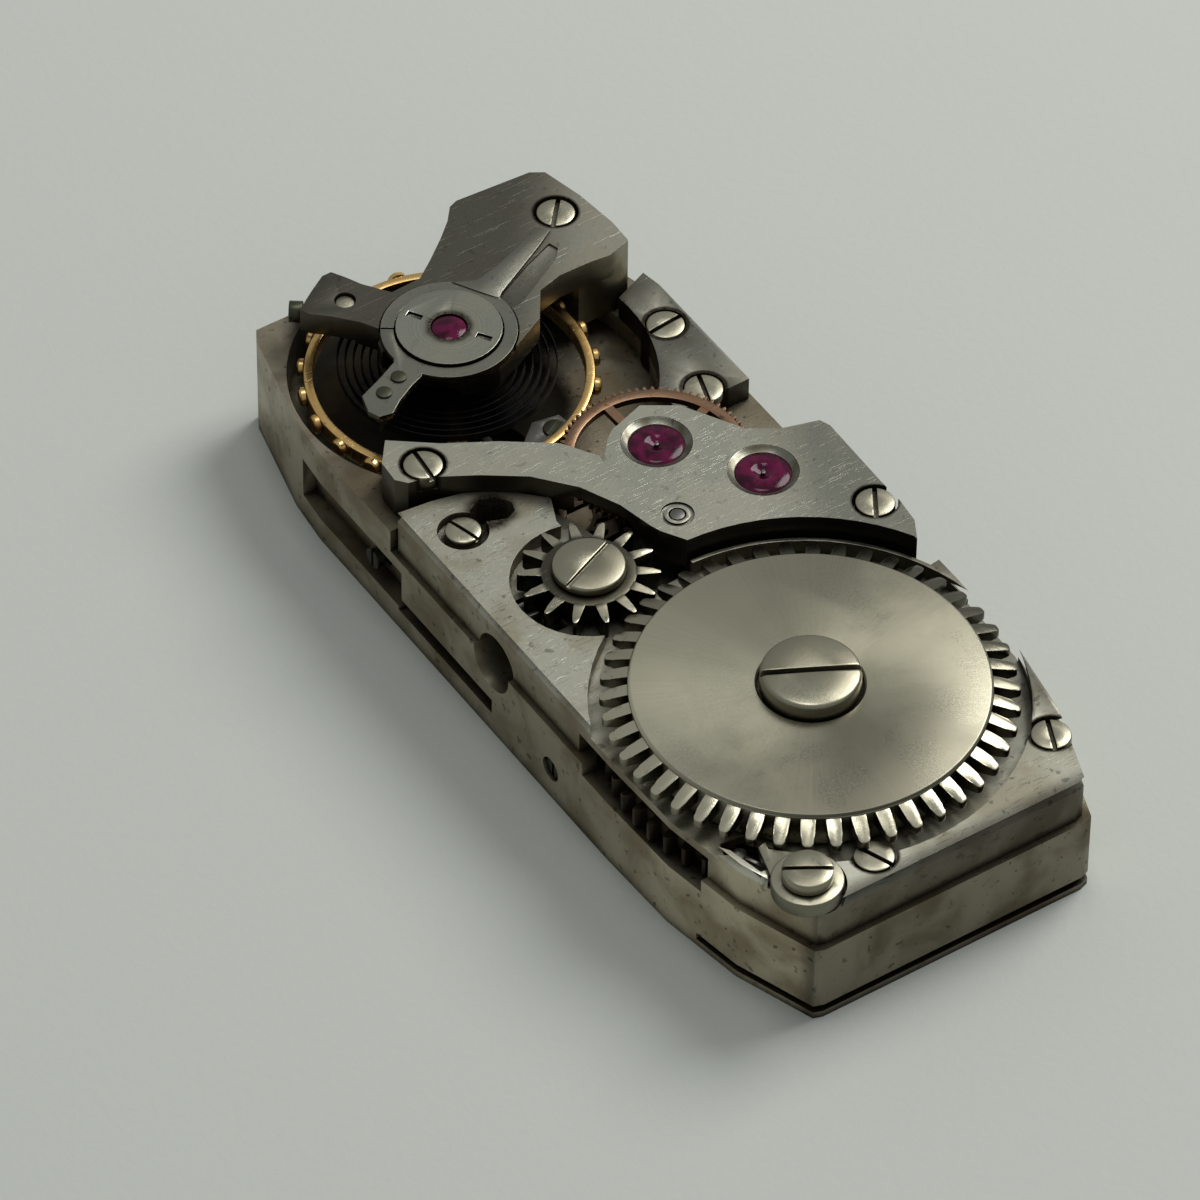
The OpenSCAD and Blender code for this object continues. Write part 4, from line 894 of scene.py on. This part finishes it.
class MOVEMENT_OT_screws(bpy.types.Operator):
    """All slotted screws, set on their places"""
    bl_idname = "movement.screws"
    bl_label = "Screws"

    def execute(self, context):
        look = finishes()
        tall = slotted_head(0.40, -0.34, 0.0, 0.19, -2.1, 0.10, 0.13, 0.045)
        flat = slotted_head(0.40, -0.22, 0.0, 0.19, -1.6, 0.10, 0.13, 0.040)
        meshes = [on_places(head, [(x, y, z, math.radians(turn)) for x, y, z, turn in places], look["screw"])
                  for head, places in ((tall, BRIDGE_HEADS), (flat, WALL_HEADS))]
        stand_in("bridge_screws", "bridge.screws", join_meshes("bridge.screws", meshes), look["screw"])
        lever_screw = middle("setting_lever_screw")
        for node, place, turn, finish, segments, shape in (
                ("ratchet_screw", BARREL, -28, "big screw", 96,
                 (0.99, 3.28, 3.79, 0.29, 2.85, 0.13, 0.20, 0.09)),
                ("crown_wheel_screw", CROWN, 23, "big screw", 72,
                 (0.73, 3.21, 3.42, 0.25, 2.26, 0.09, 0.09, 0.05)),
                ("click_screw", CLICK, -32, "big screw", 64,
                 (0.50, 3.12, 3.40, 0.24, 1.40, 0.09, 0.12, 0.05)),
                ("setting_lever_screw", lever_screw, -74, "screw", 48,
                 (0.37, 2.76, 3.02, 0.16, 0.62, 0.08, 0.10, 0.05))):
            head = slotted_head(*shape, segments=segments)
            mesh = on_places(head, [(*place, 0.0, math.radians(turn))], look[finish])
            stand_in(node, node.replace("_", ".") + ".head", mesh, look[finish])
        dress_all(look["dark screw"], SMALL_EDGE, "pallet_bridge_screws", "dial_cover_screws",
                  "dial_foot_screws", "stud_screw")
        return {"FINISHED"}


class MOVEMENT_OT_jewels(bpy.types.Operator):
    """Jewels, domed and pierced, in their polished sinks"""
    bl_idname = "movement.jewels"
    bl_label = "Jewels"

    def execute(self, context):
        look = finishes()
        top, bottom = high("train_jewels"), low("train_jewels")
        bm = lathe(bmesh.new(), (0, 0), [
            (0.040, top - 0.21), (0.57, top - 0.21), (0.57, top - 0.07), (0.545, top - 0.045),
            (0.48, top - 0.025), (0.36, top - 0.006), (0.27, top), (0.22, top - 0.012), (0.15, top - 0.050),
            (0.10, top - 0.075), (0.040, top - 0.09), (0.040, top - 0.21)], 64, cap=False)
        stone = template("stone", bm)
        places = [(*FOURTH, 0.0, 0.0), (*THIRD, 0.0, 0.0)]
        stones = on_places(stone, places, look["ruby"])
        bm = lathe(bmesh.new(), ESCAPE, [
            (0.075, bottom), (0.28, bottom), (0.28, 3.26), (0.25, 3.28), (0.16, 3.28), (0.10, 3.24),
            (0.075, 3.22), (0.075, bottom)], 40, cap=False)
        stones = join_meshes("train.jewels", [stones, bm_to_mesh(bm)])
        stand_in("train_jewels", "train.jewels", stones, look["ruby"])
        bm = lathe(bmesh.new(), (0, 0), [
            (0.575, 3.334), (0.712, 3.334), (0.712, 3.425), (0.69, 3.415), (0.60, 3.352), (0.575, 3.348),
            (0.575, 3.334)], 72, cap=False)
        rims = on_places(template("rim", bm), places, look["sink"])
        adopt("jewel.sinks", rims, BODY_OF["train_bridge"], look["sink"])
        base, dome = low("cap_jewel"), high("cap_jewel")
        bm = lathe(bmesh.new(), BALANCE, [
            (0, base), (0.37, base), (0.37, dome - 0.085), (0.34, dome - 0.05), (0.26, dome - 0.025),
            (0.13, dome - 0.006), (0, dome)], 48)
        stand_in("cap_jewel", "cap.jewel", bm_to_mesh(bm, "cap.jewel"), look["ruby"])
        dress_all(look["ruby"], SMALL_EDGE, "plate_jewels", "balance_hole_jewel", "pallet_stones")
        return {"FINISHED"}


class MOVEMENT_OT_winding(bpy.types.Operator):
    """Ratchet wheel, crown wheel, click and the parts on the stem"""
    bl_idname = "movement.winding"
    bl_label = "Winding works"

    def execute(self, context):
        look = finishes()
        sizes = context.scene.movement_sizes
        toward = heading(BARREL, CROWN)
        disc = bm_to_mesh(lathe(bmesh.new(), BARREL, [
            (0.60, 2.68), (3.54, 2.68), (3.54, 3.35), (3.53, 3.385), (3.50, 3.42), (3.47, 3.43),
            (1.085, 3.43), (1.04, 3.40), (1.04, 3.27), (0.60, 3.27), (0.60, 2.68)],
            sizes.rim_segments, cap=False))
        cog = tooth([(3.50, 0.150), (3.64, 0.142), (3.86, 0.132), (4.00, 0.116), (4.06, 0.085),
                     (4.078, 0.040)], 2.98, 3.36, 0.20, 0.030)
        cogs = ring_of(cog, RATCHET_TEETH, toward, BARREL, look["teeth"])
        wheel = join_meshes("ratchet.wheel", [disc, cogs])
        ratchet = stand_in("ratchet_wheel", "ratchet.wheel", wheel, look["ratchet"])
        paint_outside(ratchet, BARREL, 3.515, look["teeth"])
        bm = bmesh.new()
        ring_solid(bm, CROWN, 0.58, 0.95, 2.72, 3.20, 0.04, 72)
        ring = bm_to_mesh(bm)
        cog = tooth([(0.88, 0.120), (1.05, 0.098), (1.25, 0.076), (1.36, 0.058), (1.41, 0.030)],
                    2.72, 3.20, 0.035, 0.022)
        cogs = ring_of(cog, CROWN_TEETH, toward + math.pi + math.pi / CROWN_TEETH, CROWN, look["crown"])
        stand_in("crown_wheel", "crown.wheel", join_meshes("crown.wheel", [ring, cogs]), look["crown"])
        dress("crown_wheel_core", look["steel"], 0.015 * MM)
        dress("click", look["screw"], 0.030 * MM)
        dress_all(look["steel"], SMALL_EDGE, "click_spring", "winding_pinion", "clutch_wheel",
                  "setting_lever", "yoke", "setting_wheel", "dial_posts")
        return {"FINISHED"}


def paint_outside(piece, centre, radius, material):
    """Second finish for the faces that lie outside a radius."""
    piece.data.materials.append(material)
    for face in piece.data.polygons:
        x, y = face.center.x / MM - centre[0], face.center.y / MM - centre[1]
        face.material_index = 1 if math.hypot(x, y) > radius else 0


class MOVEMENT_OT_train(bpy.types.Operator):
    """Going train, escapement and motion works"""
    bl_idname = "movement.train"
    bl_label = "Train"

    def execute(self, context):
        look = finishes()
        gap = math.dist(FOURTH, ESCAPE)
        pitch = gap * FOURTH_TEETH / (FOURTH_TEETH + ESCAPE_LEAVES)
        module = pitch / FOURTH_TEETH
        root, tip = pitch - 2 * module, pitch + 1.5 * module
        floor, top = low("fourth_wheel"), high("fourth_wheel")
        bm = bmesh.new()
        ring_solid(bm, FOURTH, root - 0.22, root + 0.004, floor, top, 0.022, 150)
        ring_solid(bm, FOURTH, 0.136, 0.34, floor, top, 0.02, 48)
        for i in range(5):
            arm(bm, FOURTH, math.radians(i * 72 + 20), 0.30, root - 0.15, 0.20, floor, top - 0.01)
        body = bm_to_mesh(bm)
        width = 2 * math.pi * root / FOURTH_TEETH * 0.44 / 2
        cog = tooth([(root - 0.01, width * 1.25), (root + 0.03, width), (root + 0.06, width * 0.80),
                     (tip - 0.004, width * 0.28)], floor, top, 0.0, 0.006)
        phase = heading(FOURTH, ESCAPE)
        cogs = ring_of(cog, FOURTH_TEETH, phase, FOURTH, look["rose gilt"])
        stand_in("fourth_wheel", "fourth.wheel", join_meshes("fourth.wheel", [body, cogs]), look["rose gilt"])
        dress_all(look["rose gilt"], FINE_EDGE, "third_wheel", "centre_wheel", "minute_wheel", "hour_wheel")
        dress_all(look["brass"], FINE_EDGE, "escape_wheel")
        dress_all(look["steel"], FINE_EDGE, "fourth_pinion", "third_pinion", "centre_pinion", "escape_pinion",
                  "cannon_pinion", "pallet_fork")
        return {"FINISHED"}


class MOVEMENT_OT_balance(bpy.types.Operator):
    """Balance wheel, its screws, the hairspring, the regulator and the cap"""
    bl_idname = "movement.balance"
    bl_label = "Balance"

    def execute(self, context):
        look = finishes()
        floor, top = low("balance_wheel"), high("balance_wheel")
        level = (floor + top) / 2
        bm = bmesh.new()
        ring_solid(bm, BALANCE, 2.74, 2.93, floor, top, 0.035, 160)
        ring_solid(bm, BALANCE, 0.20, 0.48, floor + 0.06, floor + 0.20, 0.02, 48)
        for turn in (62, 242):
            arm(bm, BALANCE, math.radians(turn), 0.40, 2.78, 0.40, floor + 0.06, floor + 0.20)
        stand_in("balance_wheel", "balance.rim", bm_to_mesh(bm, "balance.rim"), look["gilt"])
        bm = lathe(bmesh.new(), (0, 0), [
            (0, 2.77), (0.060, 2.77), (0.060, 2.920), (0.165, 2.920), (0.195, 2.945), (0.195, 3.030),
            (0.160, 3.065), (0.070, 3.080), (0, 3.080)], 24)
        bmesh.ops.rotate(bm, cent=(0, 0, 0), matrix=Matrix.Rotation(math.radians(90), 3, "Y"), verts=bm.verts)
        weight = template("weight", bm)
        turns = [62 + 16 + i * 16 + half for i in range(TIMING_PAIRS) for half in (0, 180)]
        places = [(*BALANCE, level, math.radians(turn)) for turn in turns]
        mesh = on_places(weight, places, look["gilt"])
        stand_in("timing_screws", "timing.screws", mesh, look["gilt"])
        mesh = grow(spiral_tree(), {
            "Turns": 11.0, "Inner radius": 0.46 * MM, "Outer radius": 2.26 * MM, "Wire width": 0.03 * MM,
            "Wire height": 0.16 * MM, "Centre": (BALANCE[0] * MM, BALANCE[1] * MM, 2.72 * MM),
            "Start angle": heading(BALANCE, middle("hairspring_stud")), "Finish": look["spring steel"]})
        stand_in("hairspring", "hair.spring", mesh, look["spring steel"])
        dress("regulator", look["regulator"], 0.022 * MM)
        dress("cap_plate", look["cap"], SMALL_EDGE)
        dress("curb_pins", look["dark screw"], 0.020 * MM)
        dress("hairspring_stud", look["screw"], 0.020 * MM)
        dress_all(look["steel"], FINE_EDGE, "balance_staff", "roller")
        dress_all(look["brass"], FINE_EDGE, "hairspring_collet")
        return {"FINISHED"}


class MOVEMENT_OT_barrel(bpy.types.Operator):
    """Barrel with its cover, arbor and mainspring"""
    bl_idname = "movement.barrel"
    bl_label = "Barrel"

    def execute(self, context):
        look = finishes()
        dress_all(look["brass"], 0.015 * MM, "barrel_drum", "barrel_cover")
        dress("barrel_arbor", look["steel"], 0.015 * MM)
        dress("mainspring", look["spring steel"], 0.008 * MM, 1)
        return {"FINISHED"}


class MOVEMENT_OT_stage(bpy.types.Operator):
    """Pale floor, soft lights and the camera"""
    bl_idname = "movement.stage"
    bl_label = "Stage"

    def execute(self, context):
        kit = context.scene.movement_stage
        target = Vector(TARGET) * MM
        a, e, roll = kit.azimuth, kit.elevation, kit.roll
        back = Vector((math.sin(a) * math.cos(e), -math.cos(a) * math.cos(e), math.sin(e)))
        right = Vector((math.cos(a), math.sin(a), 0))
        up = back.cross(right)
        across = right * math.cos(roll) + up * math.sin(roll)
        above = up * math.cos(roll) - right * math.sin(roll)
        data = bpy.data.cameras.new("Camera")
        data.lens = kit.lens
        data.sensor_width = 36
        data.clip_start = 0.005
        data.clip_end = 5
        camera = linked("Camera", data)
        turn = Matrix((across, above, back)).transposed().to_4x4()
        camera.matrix_world = Matrix.Translation(target + back * kit.distance) @ turn
        context.scene.camera = camera
        mesh = bpy.data.meshes.new("floor")
        corners = [(x * FLOOR_HALF, y * FLOOR_HALF, 0) for x, y in ((-1, -1), (1, -1), (1, 1), (-1, 1))]
        mesh.from_pydata(corners, [], [(0, 1, 2, 3)])
        floor = linked("floor", mesh)
        mesh.materials.append(self.paper(kit))
        self.lamp("key", Vector((0.66, 0.08, 0.76)), 0.120, 7.2, (1.0, 0.99, 0.965))
        self.lamp("top", Vector((0.05, 0.12, 1.0)), 0.060, 4.5, (1.0, 1.0, 0.99))
        world = bpy.data.worlds.new("Studio")
        context.scene.world = world
        world.use_nodes = True
        sky = world.node_tree.nodes["Background"]
        feed(world.node_tree, sky, {"Color": (0.93, 0.96, 0.95, 1), "Strength": 0.36})
        context.scene.view_settings.view_transform = "Standard"
        return {"FINISHED"}

    def lamp(self, name, way, size, radiance, colour):
        """Round lamp that looks at the origin; size in metres."""
        data = bpy.data.lights.new(name, "AREA")
        data.shape = "DISK"
        data.size = size
        data.energy = radiance * math.pi * math.pi * size * size / 4
        data.color = colour
        lamp = linked(name, data)
        way = way.normalized()
        lamp.location = way * LAMP_DISTANCE
        lamp.rotation_euler = way.to_track_quat("Z", "Y").to_euler()

    def paper(self, kit):
        material, tree, shader = new_material("paper")
        place = object_place(tree)
        fibre = noise(tree, place, 5200.0, 3.0)
        shade = blend(tree, noise(tree, place, 60.0, 4.0), tone(kit.floor, 0.97), tone(kit.floor))
        shade = blend(tree, calc(tree, "MULTIPLY", fibre, 0.10), shade, tone(kit.floor, 0.85))
        tree.links.new(shade, shader.inputs["Base Color"])
        shader.inputs["Roughness"].default_value = 0.85
        shader.inputs["Specular IOR Level"].default_value = 0.2
        raise_by(tree, shader, fibre, 0.00002, 0.4)
        return material


class MOVEMENT_PT_panel(bpy.types.Panel):
    bl_label = "Watch movement"
    bl_idname = "MOVEMENT_PT_panel"
    bl_space_type = "VIEW_3D"
    bl_region_type = "UI"
    bl_category = "Movement"

    def draw(self, context):
        layout = self.layout
        scene = context.scene
        for settings in (scene.movement_finish, scene.movement_sizes, scene.movement_stage):
            box = layout.box()
            for prop in settings.__annotations__:
                box.prop(settings, prop)
        for operator in STEPS:
            layout.operator(operator.bl_idname)


STEPS = (MOVEMENT_OT_stage, MOVEMENT_OT_plates, MOVEMENT_OT_screws, MOVEMENT_OT_jewels, MOVEMENT_OT_winding,
         MOVEMENT_OT_train, MOVEMENT_OT_balance, MOVEMENT_OT_barrel)
CLASSES = (MovementFinish, MovementSizes, MovementStage) + STEPS + (MOVEMENT_PT_panel,)


def register():
    for item in CLASSES:
        bpy.utils.register_class(item)
    bpy.types.Scene.movement_finish = bpy.props.PointerProperty(type=MovementFinish)
    bpy.types.Scene.movement_sizes = bpy.props.PointerProperty(type=MovementSizes)
    bpy.types.Scene.movement_stage = bpy.props.PointerProperty(type=MovementStage)


def unregister():
    for name in ("movement_finish", "movement_sizes", "movement_stage"):
        delattr(bpy.types.Scene, name)
    for item in reversed(CLASSES):
        bpy.utils.unregister_class(item)


def main():
    register()
    bpy.ops.movement.stage()
    bpy.ops.movement.plates()
    bpy.ops.movement.screws()
    bpy.ops.movement.jewels()
    bpy.ops.movement.winding()
    bpy.ops.movement.train()
    bpy.ops.movement.balance()
    bpy.ops.movement.barrel()


if __name__ == "__main__":
    main()
